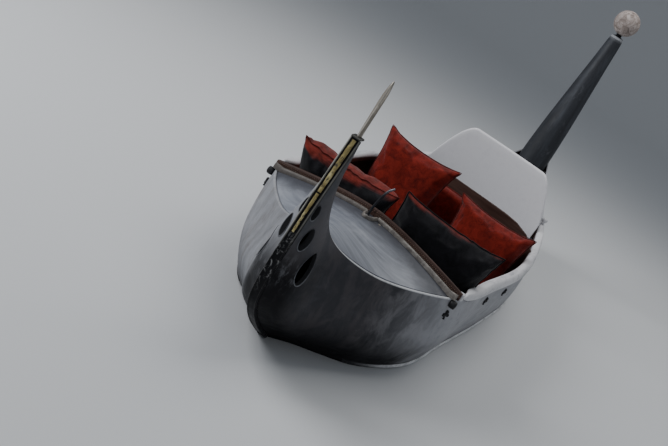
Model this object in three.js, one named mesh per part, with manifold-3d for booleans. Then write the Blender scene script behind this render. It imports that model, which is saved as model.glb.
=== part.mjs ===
// Gondola for two passengers and an oarsman, in millimetres.
// X runs to port, Y runs aft, Z runs up; zero height is the waterline.
// The lines are drawn from the aft edge of the prow, and MIDSHIP brings the origin amidships.
import * as THREE from 'three';
import * as BufferGeometryUtils from 'three/addons/utils/BufferGeometryUtils.js';
import Module from 'manifold-3d';

const wasm = await Module();
wasm.setup();

// Driving dimensions
const MIDSHIP = 1760;
const SKIN = 12;
const BOTTOM_SKIN = 14;
const SEAT_GAP = 0.3;
const STEM_GAP = 0.7;
const HULL_GAP = 0.9;
const STEM_WIDTH = 31;
const STEM_DEPTH = 12;
const STRIP_FOOT_Z = 463;
const DECK_DROP = 5;
const DECK_THICK = 8;
const FLOOR_Z = -62;
const FLOOR_THICK = 14;
const RIB_DEPTH = 16;
const RIB_WIDTH = 24;
const AFT_DECK_Z = 330;
const AFT_DECK_START = 2760;
const AFT_DECK_END = 3490;
const THWART_TOP = 130;
const THWART_THICK = 22;
const SEAT_TOP = 85;
const SEAT_FRONT = 1290;
const SEAT_BACK = 2010;
const SHELF_Z = 315;
const BACKREST_TOP = 630;
const POST_TOP = 1385;
const BALL_RADIUS = 76;

// Hull stations. Each entry is [half breadth, aft, up] where the station crosses that line.
const STATIONS = [
  { name: 'stem', sheer: [16, -27, 765], high: [16, -75, 450], low: [16, -66, 220], water: [16, 238, 0], chine: [16, 350, -60] },
  { name: 'prow', sheer: [25, -6, 600], high: [60, -32, 435], low: [76, 0, 205], water: [80, 312, 0], chine: [60, 400, -66] },
  { name: 'throat', sheer: [55, 95, 455], high: [86, 90, 375], low: [118, 118, 188], water: [150, 372, 0], chine: [130, 460, -74] },
  { name: 'bow', sheer: [186, 272, 374], high: [210, 290, 285], low: [250, 330, 150], water: [258, 480, 0], chine: [235, 570, -84] },
  { name: 'corner', sheer: [405, 655, 356], high: [412, 660, 240], low: [403, 676, 120], water: [358, 730, 0], chine: [335, 800, -98] },
  { name: 'knees', sheer: [447, 1150, 324], high: [441, 1150, 220], low: [420, 1150, 110], water: [390, 1160, 0], chine: [364, 1180, -110] },
  { name: 'midship', sheer: [467, 1720, 312], high: [462, 1720, 212], low: [451, 1720, 105], water: [420, 1720, 0], chine: [393, 1720, -114] },
  { name: 'seat', sheer: [409, 2290, 325], high: [424, 2290, 222], low: [431, 2290, 110], water: [421, 2290, 0], chine: [386, 2280, -108] },
  { name: 'quarter', sheer: [288, 2870, 378], high: [304, 2880, 256], low: [308, 2890, 128], water: [294, 2890, 0], chine: [262, 2860, -90] },
  { name: 'horn', sheer: [118, 3390, 510], high: [116, 3395, 340], low: [104, 3390, 165], water: [88, 3350, 0], chine: [72, 3270, -70] },
  { name: 'stern', sheer: [30, 3560, 660], high: [22, 3590, 450], low: [18, 3590, 230], water: [16, 3520, 0], chine: [16, 3400, -60] },
];
const LINES = ['chine', 'water', 'low', 'high', 'sheer'];
const HULL_STEPS = 36;
const BOTTOM_STEPS = 26;
const HULL_HEIGHTS = 8;
const KEEL_Z = [-60, -84, -106, -128, -148, -160, -166, -158, -130, -92, -60];

// Colours of the real finishes
const PEWTER = { color: 0x6d7076, roughness: 0.5, metalness: 0.35 };
const DECK_GREY = { color: 0x9aa0a8, roughness: 0.45, metalness: 0.35 };
const PALE = { color: 0xc4c6c8, roughness: 0.5, metalness: 0.1 };
const BLACK = { color: 0x17181a, roughness: 0.55, metalness: 0.2 };
const SLATE = { color: 0x33373d, roughness: 0.55, metalness: 0.2 };
const GOLD = { color: 0xb79a4e, roughness: 0.4, metalness: 0.9 };
const STEEL = { color: 0xb9b5a6, roughness: 0.3, metalness: 0.9 };
const WOOD = { color: 0x6a4632, roughness: 0.6, metalness: 0.0 };
const STONE = { color: 0x8f8377, roughness: 0.8, metalness: 0.0 };
const RED_CLOTH = { color: 0x8c2416, roughness: 0.9, metalness: 0.0 };
const BLACK_CLOTH = { color: 0x1b1a1e, roughness: 0.9, metalness: 0.0 };

const boat = new THREE.Group();
boat.position.y = -MIDSHIP;

function vec(x, y, z) {
  return new THREE.Vector3(x, y, z);
}

function add(name, geometry, finish) {
  const mesh = new THREE.Mesh(geometry, new THREE.MeshStandardMaterial(finish));
  mesh.name = name;
  boat.add(mesh);
  return mesh;
}

// Signed volume of an indexed mesh, negative where its faces point inwards.
function signedVolume(geometry) {
  const p = geometry.getAttribute('position');
  const index = geometry.getIndex().array;
  const corner = (i) => vec(p.getX(i), p.getY(i), p.getZ(i));
  let volume = 0;
  for (let i = 0; i < index.length; i += 3) {
    volume += corner(index[i]).dot(corner(index[i + 1]).cross(corner(index[i + 2])));
  }
  return volume / 6;
}

// Closed solid through rings of equal length. Each end is closed by quads between facing sides of its ring.
function loft(rings) {
  const count = rings[0].length;
  const positions = rings.flat().flatMap((v) => [v.x, v.y, v.z]);
  const index = [];
  const quad = (a, b, c, d) => index.push(a, b, c, a, c, d);
  for (let i = 0; i < rings.length - 1; i++) {
    for (let j = 0; j < count; j++) {
      const next = (j + 1) % count;
      quad(i * count + j, i * count + next, (i + 1) * count + next, (i + 1) * count + j);
    }
  }
  const last = (rings.length - 1) * count;
  for (let j = 0; j < count / 2 - 1; j++) {
    const facing = count - 1 - j;
    quad(j, facing, facing - 1, j + 1);
    quad(last + j, last + j + 1, last + facing - 1, last + facing);
  }
  let geometry = new THREE.BufferGeometry();
  geometry.setAttribute('position', new THREE.Float32BufferAttribute(positions, 3));
  geometry.setIndex(index);
  geometry = BufferGeometryUtils.mergeVertices(geometry, 1e-4);
  dropThinFaces(geometry);
  if (signedVolume(geometry) < 0) {
    geometry.setIndex([...geometry.getIndex().array].reverse());
  }
  return geometry;
}

// Faces that lost a corner when equal points were merged are taken out.
function dropThinFaces(geometry) {
  const index = geometry.getIndex().array;
  const kept = [];
  for (let i = 0; i < index.length; i += 3) {
    const [a, b, c] = [index[i], index[i + 1], index[i + 2]];
    if (a !== b && b !== c && a !== c) kept.push(a, b, c);
  }
  geometry.setIndex(kept);
}

function toManifold(geometry) {
  const bare = geometry.clone();
  bare.deleteAttribute('normal');
  bare.deleteAttribute('uv');
  const merged = BufferGeometryUtils.mergeVertices(bare, 1e-4);
  return new wasm.Manifold(new wasm.Mesh({
    numProp: 3,
    vertProperties: new Float32Array(merged.getAttribute('position').array),
    triVerts: new Uint32Array(merged.getIndex().array),
  }));
}

function fromManifold(solid) {
  const mesh = solid.getMesh();
  const geometry = new THREE.BufferGeometry();
  geometry.setAttribute('position', new THREE.BufferAttribute(new Float32Array(mesh.vertProperties), 3));
  geometry.setIndex(new THREE.BufferAttribute(new Uint32Array(mesh.triVerts), 1));
  return geometry;
}

function mirrored(geometry) {
  const copy = geometry.clone();
  copy.scale(-1, 1, 1);
  copy.setIndex([...copy.getIndex().array].reverse());
  return copy;
}

function addPair(name, geometry, finish) {
  add(`${name}_port`, geometry, finish);
  add(`${name}_starboard`, mirrored(geometry), finish);
}

function linspace(from, to, steps) {
  return Array.from({ length: steps + 1 }, (_, i) => from + ((to - from) * i) / steps);
}

// Hull side: a point at t along the boat and s up from the chine to the sheer.
const curveOf = Object.fromEntries(
  LINES.map((line) => [line, new THREE.CatmullRomCurve3(STATIONS.map((row) => vec(...row[line])), false, 'centripetal')]),
);

function sideCurve(t) {
  return new THREE.CatmullRomCurve3(LINES.map((line) => curveOf[line].getPoint(t)), false, 'centripetal');
}

function sidePoint(t, s) {
  return sideCurve(THREE.MathUtils.clamp(t, 0, 1)).getPoint(THREE.MathUtils.clamp(s, 0, 1));
}

function sideNormal(t, s) {
  const step = 0.004;
  const along = sidePoint(t + step, s).sub(sidePoint(t - step, s));
  const upward = sidePoint(t, s + step).sub(sidePoint(t, s - step));
  const normal = along.cross(upward).normalize();
  return normal.x < 0 ? normal.negate() : normal;
}

// Where on the side's surface a place aft and a height are met
function sharesAt(aft, up) {
  let t = 0.6;
  let s = 0.5;
  for (let round = 0; round < 8; round++) {
    let [low, high] = [0.3, 1];
    for (let i = 0; i < 30; i++) {
      t = (low + high) / 2;
      if (sidePoint(t, s).y < aft) low = t;
      else high = t;
    }
    [low, high] = [0, 1];
    for (let i = 0; i < 30; i++) {
      s = (low + high) / 2;
      if (sidePoint(t, s).z < up) low = s;
      else high = s;
    }
  }
  return { t, s };
}

// Side of the hull as one skin, grown on both faces where it serves to trim its neighbours.
function hullSide(grow = 0) {
  const rings = linspace(0, 1, HULL_STEPS).map((t) => {
    const heights = linspace(0, 1, HULL_HEIGHTS);
    const outer = heights.map((s) => sidePoint(t, s).addScaledVector(sideNormal(t, s), grow));
    const inner = heights.map((s) => sidePoint(t, s).addScaledVector(sideNormal(t, s), -SKIN - grow));
    return [...outer, ...inner.reverse()];
  });
  return loft(rings);
}

// Oval holes through the prow: place aft, height, half length and half height.
const PROW_HOLES = [
  { aft: -60, up: 531, long: 7, tall: 25 },
  { aft: -55, up: 449, long: 9.5, tall: 38 },
  { aft: -17, up: 362, long: 23, tall: 57 },
];
const HOLE_LEAN = THREE.MathUtils.degToRad(-8);

function holeCutter({ aft, up, long, tall }) {
  const outline = new THREE.Shape();
  outline.absellipse(0, 0, long, tall, 0, 2 * Math.PI, false, 0);
  const cutter = new THREE.ExtrudeGeometry(outline, { depth: 200, bevelEnabled: false, curveSegments: 12 });
  cutter.rotateZ(HOLE_LEAN);
  cutter.rotateX(Math.PI / 2);
  cutter.rotateZ(Math.PI / 2);
  cutter.translate(0, aft, up);
  return cutter;
}

let flank = toManifold(hullSide());
for (const hole of PROW_HOLES) {
  flank = flank.subtract(toManifold(holeCutter(hole)));
}
addPair('hull_side', fromManifold(flank), PEWTER);

// Bottom: its upper face passes just under the chine and sags to the keel.
const keelCurve = new THREE.CatmullRomCurve3(
  STATIONS.map((row, i) => vec(0, row.chine[1], KEEL_Z[i])), false, 'centripetal',
);

function bottomTop(t, share) {
  const chine = curveOf.chine.getPoint(t);
  const keel = keelCurve.getPoint(t);
  const x = (chine.x + 1) * share;
  const up = keel.z + (chine.z - 0.6 - keel.z) * share * share;
  return vec(x, chine.y, Math.min(up, chine.z - 0.6));
}

function bottomPanel() {
  const shares = linspace(-1, 1, 8);
  const rings = linspace(0, 1, BOTTOM_STEPS).map((t) => {
    const upper = shares.map((share) => bottomTop(t, share));
    const lower = upper.map((v) => vec(v.x, v.y, v.z - BOTTOM_SKIN));
    return [...upper, ...lower.reverse()];
  });
  return loft(rings);
}
add('hull_bottom', bottomPanel(), PEWTER);

// Keel bar along the bottom
function keelBar() {
  const halfWidth = 20;
  const depth = 34;
  const rings = linspace(0, 1, BOTTOM_STEPS).filter((t) => t > 0.18 && t < 0.92).map((t) => {
    const top = keelCurve.getPoint(t).z - BOTTOM_SKIN - SEAT_GAP;
    const y = keelCurve.getPoint(t).y;
    return [vec(-halfWidth, y, top), vec(halfWidth, y, top), vec(halfWidth - 4, y, top - depth), vec(4 - halfWidth, y, top - depth)];
  });
  return loft(rings);
}
add('keel', keelBar(), SLATE);

// Bars that close the hull at its two ends, following the end of the sides.
function endBar(end, halfWidth, setBack, depth, fromS, toS) {
  const rings = linspace(fromS, toS, 22).map((s) => {
    const here = sidePoint(end, s);
    const tangent = sidePoint(end, Math.min(s + 0.01, 1)).sub(sidePoint(end, Math.max(s - 0.01, 0)));
    const outward = vec(0, -tangent.z, tangent.y).normalize();
    if (end === 1) outward.negate();
    const at = (across, out) => vec(across, here.y + outward.y * out, here.z + outward.z * out);
    return [
      at(-halfWidth, setBack), at(halfWidth, setBack),
      at(halfWidth, setBack + depth * 0.7), at(halfWidth * 0.7, setBack + depth),
      at(-halfWidth * 0.7, setBack + depth), at(-halfWidth, setBack + depth * 0.7),
    ];
  });
  return loft(rings);
}
add('stem_post', endBar(0, STEM_WIDTH / 2, STEM_GAP, STEM_DEPTH, 0, 1), BLACK);
add('stern_stem', endBar(1, STEM_WIDTH / 2, STEM_GAP, STEM_DEPTH, 0, 1), SLATE);

function stemShareAt(up) {
  let [low, high] = [0, 1];
  for (let i = 0; i < 30; i++) {
    const middle = (low + high) / 2;
    if (sidePoint(0, middle).z < up) low = middle;
    else high = middle;
  }
  return low;
}
const stripStart = STEM_DEPTH + STEM_GAP + SEAT_GAP;
add('stem_gold_strip', endBar(0, 5, stripStart, 3, stemShareAt(STRIP_FOOT_Z), 0.995), GOLD);

// The space inside the hull, down to the bottom and up past the sheer, kept off the skin by a clearance.
function insideHull(clearance) {
  const rise = 420;
  const shares = linspace(0, 0.85, 4);
  const rings = linspace(0, 1, HULL_STEPS).map((t) => {
    const side = linspace(0, 1, HULL_HEIGHTS).map((s) => {
      const v = sidePoint(t, s).addScaledVector(sideNormal(t, s), -SKIN - clearance);
      return v.setX(Math.max(v.x, 1));
    });
    const bottom = shares.map((share) => {
      const v = bottomTop(t, share);
      return vec(Math.max(share * side[0].x, share), v.y, v.z + clearance);
    });
    const top = side[side.length - 1].clone().add(vec(0, 0, rise));
    const port = [...bottom, ...side, top];
    const starboard = port.map((v) => vec(-v.x, v.y, v.z)).reverse();
    return [...port, ...starboard];
  });
  return toManifold(loft(rings));
}
const inside = insideHull(HULL_GAP);
const insideRibs = insideHull(HULL_GAP + RIB_DEPTH);
const insideArms = insideHull(HULL_GAP + RIB_DEPTH + 0.7);
const grownFlank = toManifold(hullSide(0.6));
const flanksGrown = grownFlank.add(toManifold(mirrored(hullSide(0.6))));

function box(x0, x1, y0, y1, z0, z1) {
  const geometry = new THREE.BoxGeometry(x1 - x0, y1 - y0, z1 - z0);
  geometry.translate((x0 + x1) / 2, (y0 + y1) / 2, (z0 + z1) / 2);
  return geometry;
}

function withinHull(geometry) {
  return toManifold(geometry).intersect(inside);
}

// Place where the sheer passes a distance aft
function sheerAt(aft) {
  let [low, high] = [0, 1];
  for (let i = 0; i < 30; i++) {
    const middle = (low + high) / 2;
    if (sidePoint(middle, 1).y < aft) low = middle;
    else high = middle;
  }
  return sidePoint(low, 1);
}

// Web that closes the aft edge of the prow between its two flanks
function prowWeb() {
  const rings = linspace(0, 0.19, 14).map((t) => {
    const edge = sidePoint(t, 1);
    const ahead = sidePoint(Math.max(t - 0.01, 0), 1);
    const slope = sidePoint(t + 0.01, 1).sub(ahead).setX(0).normalize();
    const at = (x, into) => vec(x, edge.y + slope.z * into, edge.z - slope.y * into);
    return [at(-60, 2), at(60, 2), at(60, 10), at(-60, 10)];
  });
  return fromManifold(withinHull(loft(rings)).subtract(flanksGrown));
}
add('prow_web', prowWeb(), PEWTER);

// Thin metal spike on the stem head
function prowBlade() {
  const foot = sidePoint(0, 1);
  const rings = [
    { up: 0, half: 5, fore: -8, aft: 20 },
    { up: 20, half: 5, fore: -6, aft: 17 },
    { up: 110, half: 6, fore: 3, aft: 18 },
    { up: 155, half: 6, fore: 9, aft: 20 },
    { up: 174, half: 4, fore: 14, aft: 21 },
    { up: 181, half: 1.5, fore: 17, aft: 21 },
  ].map(({ up, half, fore, aft }) => {
    const z = foot.z + SEAT_GAP * 2 + up;
    return [vec(-half, foot.y + fore, z), vec(half, foot.y + fore, z), vec(half, foot.y + aft, z), vec(-half, foot.y + aft, z)];
  });
  return loft(rings);
}

// Cap on the stem head that carries the spike
const HEAD_LIFT = 2.2;
function stemHead() {
  const foot = sidePoint(0, 1);
  const cap = new THREE.BoxGeometry(30, 34, 6);
  cap.translate(0, foot.y + 3, foot.z + 3 + HEAD_LIFT);
  return cap;
}
add('stem_head', stemHead(), BLACK);
const blade = prowBlade();
blade.translate(0, 0, 6 + HEAD_LIFT - SEAT_GAP);
add('prow_blade', blade, STEEL);

// Foredeck: two crowned panels that fall from a ridge to the sheer.
const DECK_FORE = 62;
const DECK_AFT = 640;
const RIDGE_FORE_Z = 450;
const RIDGE_AFT_Z = 424;

function deckTop(x, aft) {
  const edge = sheerAt(aft);
  const along = (aft - DECK_FORE) / (DECK_AFT - DECK_FORE);
  const ridge = RIDGE_FORE_Z + (RIDGE_AFT_Z - RIDGE_FORE_Z) * along;
  const edgeUp = edge.z - DECK_DROP;
  const share = Math.min(x / edge.x, 1.1);
  return ridge + (edgeUp - ridge) * Math.pow(share, 1.6);
}

function deckPanel(lift) {
  const across = linspace(0, 1.06, 7);
  const rings = linspace(DECK_FORE, DECK_AFT, 12).map((aft) => {
    const breadth = sheerAt(aft).x;
    const upper = across.map((share) => vec(Math.max(share * breadth, 0.5), aft, deckTop(share * breadth, aft) + lift));
    const lower = upper.map((v) => vec(v.x, v.y, v.z - DECK_THICK));
    return [...upper, ...lower.reverse()];
  });
  return loft(rings);
}
const prowSpace = toManifold(box(-90, 90, -20, 81, 300, 800));
addPair('foredeck', fromManifold(withinHull(deckPanel(0)).subtract(prowSpace).subtract(flanksGrown)), DECK_GREY);

// Pale strip along the foredeck's aft edge, and the brown board behind it, both carried out over the sheer
const COAMING_END = { proud: 6, lift: 9 };
function coamingBand(fore, aft, below, above, from) {
  const end = sheerAt(aft).x + COAMING_END.proud;
  const rings = linspace(from, end, 10).map((x) => {
    const low = deckTop(x, DECK_AFT) - below;
    const high = deckTop(x, DECK_AFT) + above + COAMING_END.lift * (x / end) ** 3;
    return [vec(x, fore, low), vec(x, aft, low), vec(x, aft, high), vec(x, fore, high)];
  });
  const band = toManifold(loft(rings));
  const overSheer = toManifold(box(300, 500, fore - 1, aft + 1, sheerAt(fore).z + 0.6, 500));
  return band.intersect(inside).add(band.intersect(overSheer));
}
const LOOP_HALF = 25;
const deckBelow = toManifold(deckPanel(0.4));
addPair('coaming_strip', fromManifold(coamingBand(614, 636, 4, 13, LOOP_HALF).subtract(deckBelow)), PALE);
addPair('coaming_board', fromManifold(coamingBand(DECK_AFT + 0.4, 658, 40, 28, 0.5)), WOOD);

function bulkhead() {
  const rings = linspace(-420, 420, 12).map((x) => {
    const up = deckTop(Math.abs(x), DECK_AFT) - 40.5;
    return [vec(x, 641, FLOOR_Z), vec(x, 655, FLOOR_Z), vec(x, 655, up), vec(x, 641, up)];
  });
  return withinHull(loft(rings)).subtract(flanksGrown);
}
add('fore_bulkhead', fromManifold(bulkhead()), WOOD);

// Frames: each hugs the inside of the hull and carries the floor.
const RIBS = [
  { name: 'rib_1', aft: 780, top: THWART_TOP - THWART_THICK - SEAT_GAP },
  { name: 'rib_2', aft: 1150, top: 262 },
  { name: 'rib_3', aft: 1700, top: 250 },
  { name: 'rib_4', aft: 2200, top: 262 },
  { name: 'rib_5', aft: 2600, top: 300 },
];
for (const { name, aft, top } of RIBS) {
  const slice = box(-600, 600, aft, aft + RIB_WIDTH, -300, top);
  const middle = box(-600, 600, aft - 10, aft + RIB_WIDTH + 10, FLOOR_Z - 0.3, 900);
  const hollow = toManifold(middle).intersect(insideRibs);
  add(name, fromManifold(withinHull(slice).subtract(hollow)), WOOD);
}

// Floor boards, clear of the frames' arms
function floorPanel() {
  const slab = box(-600, 600, 662, 2740, FLOOR_Z, FLOOR_Z + FLOOR_THICK);
  return toManifold(slab).intersect(insideArms);
}
add('cockpit_floor', fromManifold(floorPanel()), WOOD);

// Forward thwart on the frames, then the low seat and the shell behind it
add('front_thwart', fromManifold(withinHull(box(-600, 600, 664, 985, THWART_TOP - THWART_THICK, THWART_TOP))), WOOD);

const floorTop = FLOOR_Z + FLOOR_THICK + SEAT_GAP;
const SEAT_BASE_TOP = 0;
function seatBase() {
  const block = toManifold(box(-600, 600, SEAT_FRONT, SEAT_BACK, floorTop, SEAT_BASE_TOP));
  return block.intersect(insideArms);
}
add('seat_base', fromManifold(seatBase()), WOOD);

// Aft deck, the bulkhead under its edge and the nosing strip on it
add('aft_bulkhead', fromManifold(withinHull(box(-600, 600, 2766, 2780, FLOOR_Z, AFT_DECK_Z - 12.4))), WOOD);
const aftDeck = withinHull(box(-600, 600, AFT_DECK_START, AFT_DECK_END, AFT_DECK_Z - 12, AFT_DECK_Z));
add('aft_deck', fromManifold(aftDeck.subtract(flanksGrown)), DECK_GREY);
const nosing = box(-600, 600, AFT_DECK_START + 2, AFT_DECK_START + 24, AFT_DECK_Z + SEAT_GAP, AFT_DECK_Z + 12);
add('aft_deck_nosing', fromManifold(withinHull(nosing)), PALE);

// Gunwale caps from the foredeck's corner to the seat, ended by small knobs
const GUNWALE = { from: 0.412, to: 0.765, tip: 12, inboard: 38, outboard: 6, high: 34, low: 25 };
function gunwaleFrame(t) {
  const outer = sidePoint(t, 1);
  const normal = sideNormal(t, 1);
  const inner = outer.clone().addScaledVector(normal, -SKIN);
  const across = vec(normal.x, normal.y, 0).normalize();
  return { at: outer, across, base: Math.max(outer.z, inner.z) + 0.5 };
}

const GUNWALE_SECTION = [
  { out: -1, up: 0 }, { out: -1, up: 0.55 }, { out: -0.72, up: 0.9 }, { out: -0.3, up: 1 },
  { out: 0.3, up: 1 }, { out: 0.72, up: 0.9 }, { out: 1, up: 0.55 }, { out: 1, up: 0 },
];
function gunwaleCap(grow = 0) {
  const rings = linspace(GUNWALE.from, GUNWALE.to, 20).map((t) => {
    const { at, across, base } = gunwaleFrame(t);
    const along = (t - GUNWALE.from) / (GUNWALE.to - GUNWALE.from);
    const swell = THREE.MathUtils.smoothstep(along, 0, 0.2);
    const high = GUNWALE.low + (GUNWALE.high - GUNWALE.low) * swell + grow;
    const slim = 1 - 0.3 * THREE.MathUtils.smoothstep(along, 0.86, 1);
    const inboard = GUNWALE.tip + (GUNWALE.inboard - GUNWALE.tip) * THREE.MathUtils.smoothstep(along, 0, 0.07);
    const half = ((inboard + GUNWALE.outboard) / 2) * slim + grow;
    const centre = (GUNWALE.outboard - inboard) / 2;
    return GUNWALE_SECTION.map(({ out, up }) => {
      const reach = centre + out * half;
      return vec(at.x + across.x * reach, at.y + across.y * reach, base - grow + up * (high + grow));
    });
  });
  return loft(rings);
}
addPair('gunwale', fromManifold(toManifold(gunwaleCap()).subtract(grownFlank)), PALE);

// Board behind the back cushion, and the shelf from it to the backrest shell
const gunwalesGrown = toManifold(gunwaleCap(0.5)).add(toManifold(mirrored(gunwaleCap(0.5))));
const SEAT_BOARD = { fore: SEAT_BACK + 2, aft: SEAT_BACK + 20, top: 430, cornerDrop: 90 };
function seatBack() {
  const rings = linspace(-1, 1, 12).map((a) => {
    const top = SEAT_BOARD.top - SEAT_BOARD.cornerDrop * a ** 6;
    const at = (y, z) => vec(a * 420, y, z);
    return [at(SEAT_BOARD.fore, floorTop), at(SEAT_BOARD.aft, floorTop), at(SEAT_BOARD.aft, top), at(SEAT_BOARD.fore, top)];
  });
  return toManifold(loft(rings)).intersect(insideArms).subtract(gunwalesGrown);
}
add('seat_back', fromManifold(seatBack()), WOOD);

// Curved backrest: its top is level between the shoulders and falls to the gunwales.
const BACKREST_HALF = 338;
const BACKREST_SHOULDER = 200;
const BACKREST_FOOT = 398;
const BACKREST_THICK = 26;
function backrestFront(x) {
  return 2456 - 40 * (x / BACKREST_HALF) ** 2;
}

function backrestTopAt(x) {
  const share = Math.max(Math.abs(x) - BACKREST_SHOULDER, 0) / (BACKREST_HALF - BACKREST_SHOULDER);
  return BACKREST_TOP - (BACKREST_TOP - BACKREST_FOOT) * Math.pow(share, 1.88);
}

function backrest(ahead = 0, thick = BACKREST_THICK) {
  const levels = linspace(0, 1, 4);
  const columns = linspace(-1, 1, 20).map((a) => BACKREST_HALF * Math.sin((a * Math.PI) / 2));
  const rings = columns.map((x) => {
    const rise = (share) => floorTop + (backrestTopAt(x) - floorTop) * share;
    const fore = levels.map((share) => vec(x, backrestFront(x) - ahead, rise(share)));
    const back = levels.map((share) => vec(x, backrestFront(x) + thick, rise(share)));
    return [...fore, ...back.reverse()];
  });
  return toManifold(loft(rings));
}
add('backrest_shell', fromManifold(backrest().intersect(insideArms).subtract(gunwalesGrown)), PALE);

const shelf = box(-600, 600, SEAT_BOARD.aft + SEAT_GAP, 2450, SHELF_Z - 10, SHELF_Z);
add('shelf_deck', fromManifold(withinHull(shelf).subtract(gunwalesGrown).subtract(backrest(0.5, 200))), DECK_GREY);

function turned(profile, sides = 24) {
  return new THREE.LatheGeometry(profile.map(([r, h]) => new THREE.Vector2(r, h)), sides);
}

function gunwaleKnob() {
  const { at, across, base } = gunwaleFrame(GUNWALE.to - 0.012);
  const knob = turned([[0, 0], [9, 0], [9, 8], [16, 16], [16, 26], [9, 34], [0, 36]], 12);
  knob.rotateX(Math.PI / 2);
  knob.translate(at.x - across.x * 20, at.y - across.y * 20, base + GUNWALE.high + 1.3);
  return knob;
}
addPair('gunwale_knob', gunwaleKnob(), PALE);

// Dark round knobs at the foredeck's two corners
function cornerKnob() {
  const edge = sheerAt(622);
  const knob = turned([[0, 0], [11, 0], [14, 4], [15, 17], [11, 24], [0, 26]], 12);
  knob.rotateZ(-Math.PI / 2);
  knob.translate(edge.x + 0.9, 622, edge.z - 15.5);
  return knob;
}
addPair('corner_knob', fromManifold(toManifold(cornerKnob()).subtract(grownFlank)), BLACK);

// Thin pale strake just above the waterline
const STRAKE = { from: 0.27, to: 0.9, up: 15, half: 7, proud: 9 };
function shareAtHeight(t, up) {
  let [low, high] = [0, 1];
  for (let i = 0; i < 30; i++) {
    const middle = (low + high) / 2;
    if (sidePoint(t, middle).z < up) low = middle;
    else high = middle;
  }
  return low;
}

function rubStrake() {
  const rings = linspace(STRAKE.from, STRAKE.to, 34).map((t) => {
    const at = (out, up) => {
      const s = shareAtHeight(t, STRAKE.up + up);
      return sidePoint(t, s).addScaledVector(sideNormal(t, s), out);
    };
    return [at(0.8, STRAKE.half), at(STRAKE.proud, 4), at(STRAKE.proud, -4), at(0.8, -STRAKE.half)];
  });
  return loft(rings);
}
addPair('rub_strake', fromManifold(toManifold(rubStrake()).subtract(grownFlank)), PALE);

// Black three-lobed marks below the gunwale
const MARKS = [{ aft: 634, drop: 62 }, { aft: 1120, drop: 46 }, { aft: 1422, drop: 44 }];
const MARK_SINK = 8;
const MARK_PROUD = 9;
function clubMark({ aft, drop }) {
  const lobes = [[0, 10, 7.5], [-11, -2, 7], [11, -2, 7], [0, 0, 7]];
  const thick = MARK_SINK + MARK_PROUD;
  let solid = toManifold(box(-3, 3, -19, 9, -MARK_SINK, MARK_PROUD));
  for (const [x, up, radius] of lobes) {
    const disc = new THREE.CylinderGeometry(radius, radius, thick, 10);
    disc.rotateX(Math.PI / 2);
    disc.translate(x, up, thick / 2 - MARK_SINK);
    solid = solid.add(toManifold(disc));
  }
  const { t, s } = sharesAt(aft, sheerAt(aft).z - drop);
  const normal = sideNormal(t, s);
  const upward = vec(0, 0, 1).addScaledVector(normal, -normal.z).normalize();
  const basis = new THREE.Matrix4().makeBasis(upward.clone().cross(normal), upward, normal);
  basis.setPosition(sidePoint(t, s));
  return fromManifold(toManifold(fromManifold(solid).applyMatrix4(basis)).subtract(grownFlank));
}
MARKS.forEach((mark, i) => addPair(`club_mark_${i + 1}`, clubMark(mark), BLACK));

// The pale strip turns forward at the ridge into a narrow loop around the foot of a bent rod
const LOOP = { fore: 548, aft: 613.6, half: 22, width: 11, high: 13 };
function ridgeLoop() {
  const place = (a) => vec(LOOP.half * Math.sin(a), LOOP.fore + (LOOP.aft - LOOP.fore) * (1 - Math.cos(a)), 0);
  const rings = linspace(-Math.PI / 2, Math.PI / 2, 14).map((a) => {
    const along = place(a + 0.01).sub(place(a - 0.01)).normalize();
    const at = (out, up) => {
      const v = place(a).add(vec(along.y * out, -along.x * out, 0));
      return v.setZ(deckTop(Math.abs(v.x), v.y) + up);
    };
    const half = LOOP.width / 2;
    return [at(-half, -4), at(half, -4), at(half, LOOP.high * 0.6), at(half * 0.5, LOOP.high), at(-half * 0.5, LOOP.high), at(-half, LOOP.high * 0.6)];
  });
  return toManifold(loft(rings)).subtract(deckBelow).subtract(toManifold(mirrored(deckPanel(0.4))));
}
add('ridge_loop', fromManifold(ridgeLoop()), PALE);

const ROD_AFT = 562;
const ROD_RADIUS = 4;
function bentRod() {
  const foot = deckTop(0, ROD_AFT) + 0.6;
  const route = new THREE.CatmullRomCurve3([
    vec(0, ROD_AFT, foot), vec(1, ROD_AFT, foot + 40), vec(8, ROD_AFT + 2, foot + 90),
    vec(17, ROD_AFT + 5, foot + 119), vec(31, ROD_AFT + 8, foot + 138),
  ]);
  const section = new THREE.Shape();
  section.absarc(0, 0, ROD_RADIUS, 0, 2 * Math.PI, false);
  return new THREE.ExtrudeGeometry(section, { steps: 14, extrudePath: route, curveSegments: 4 });
}
add('bent_rod', bentRod(), STEEL);

// Stern post, its collar, the neck and the ball on top
const POST_RINGS = [
  { up: AFT_DECK_Z + SEAT_GAP, radius: 82 }, { up: 520, radius: 88 }, { up: 760, radius: 80 },
  { up: 1000, radius: 65 }, { up: 1200, radius: 51 }, { up: 1370, radius: 39 }, { up: POST_TOP, radius: 34 },
];
const POST_FOOT_AFT = 3380;
const POST_RAKE = 55 / 1055;
function postCentre(up) {
  return POST_FOOT_AFT + (up - AFT_DECK_Z) * POST_RAKE;
}

function sternPost() {
  const sides = 20;
  const rings = POST_RINGS.map(({ up, radius }) => {
    const half = linspace(0, Math.PI, sides / 2 - 1).map((angle) => [Math.cos(angle), Math.sin(angle)]);
    const place = ([c, w]) => vec(radius * w, postCentre(up) + radius * c, up);
    const other = half.map(([c, w]) => [c, -w]).reverse();
    return [...half, ...other].map(place);
  });
  return loft(rings);
}
add('stern_post', sternPost(), SLATE);

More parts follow.
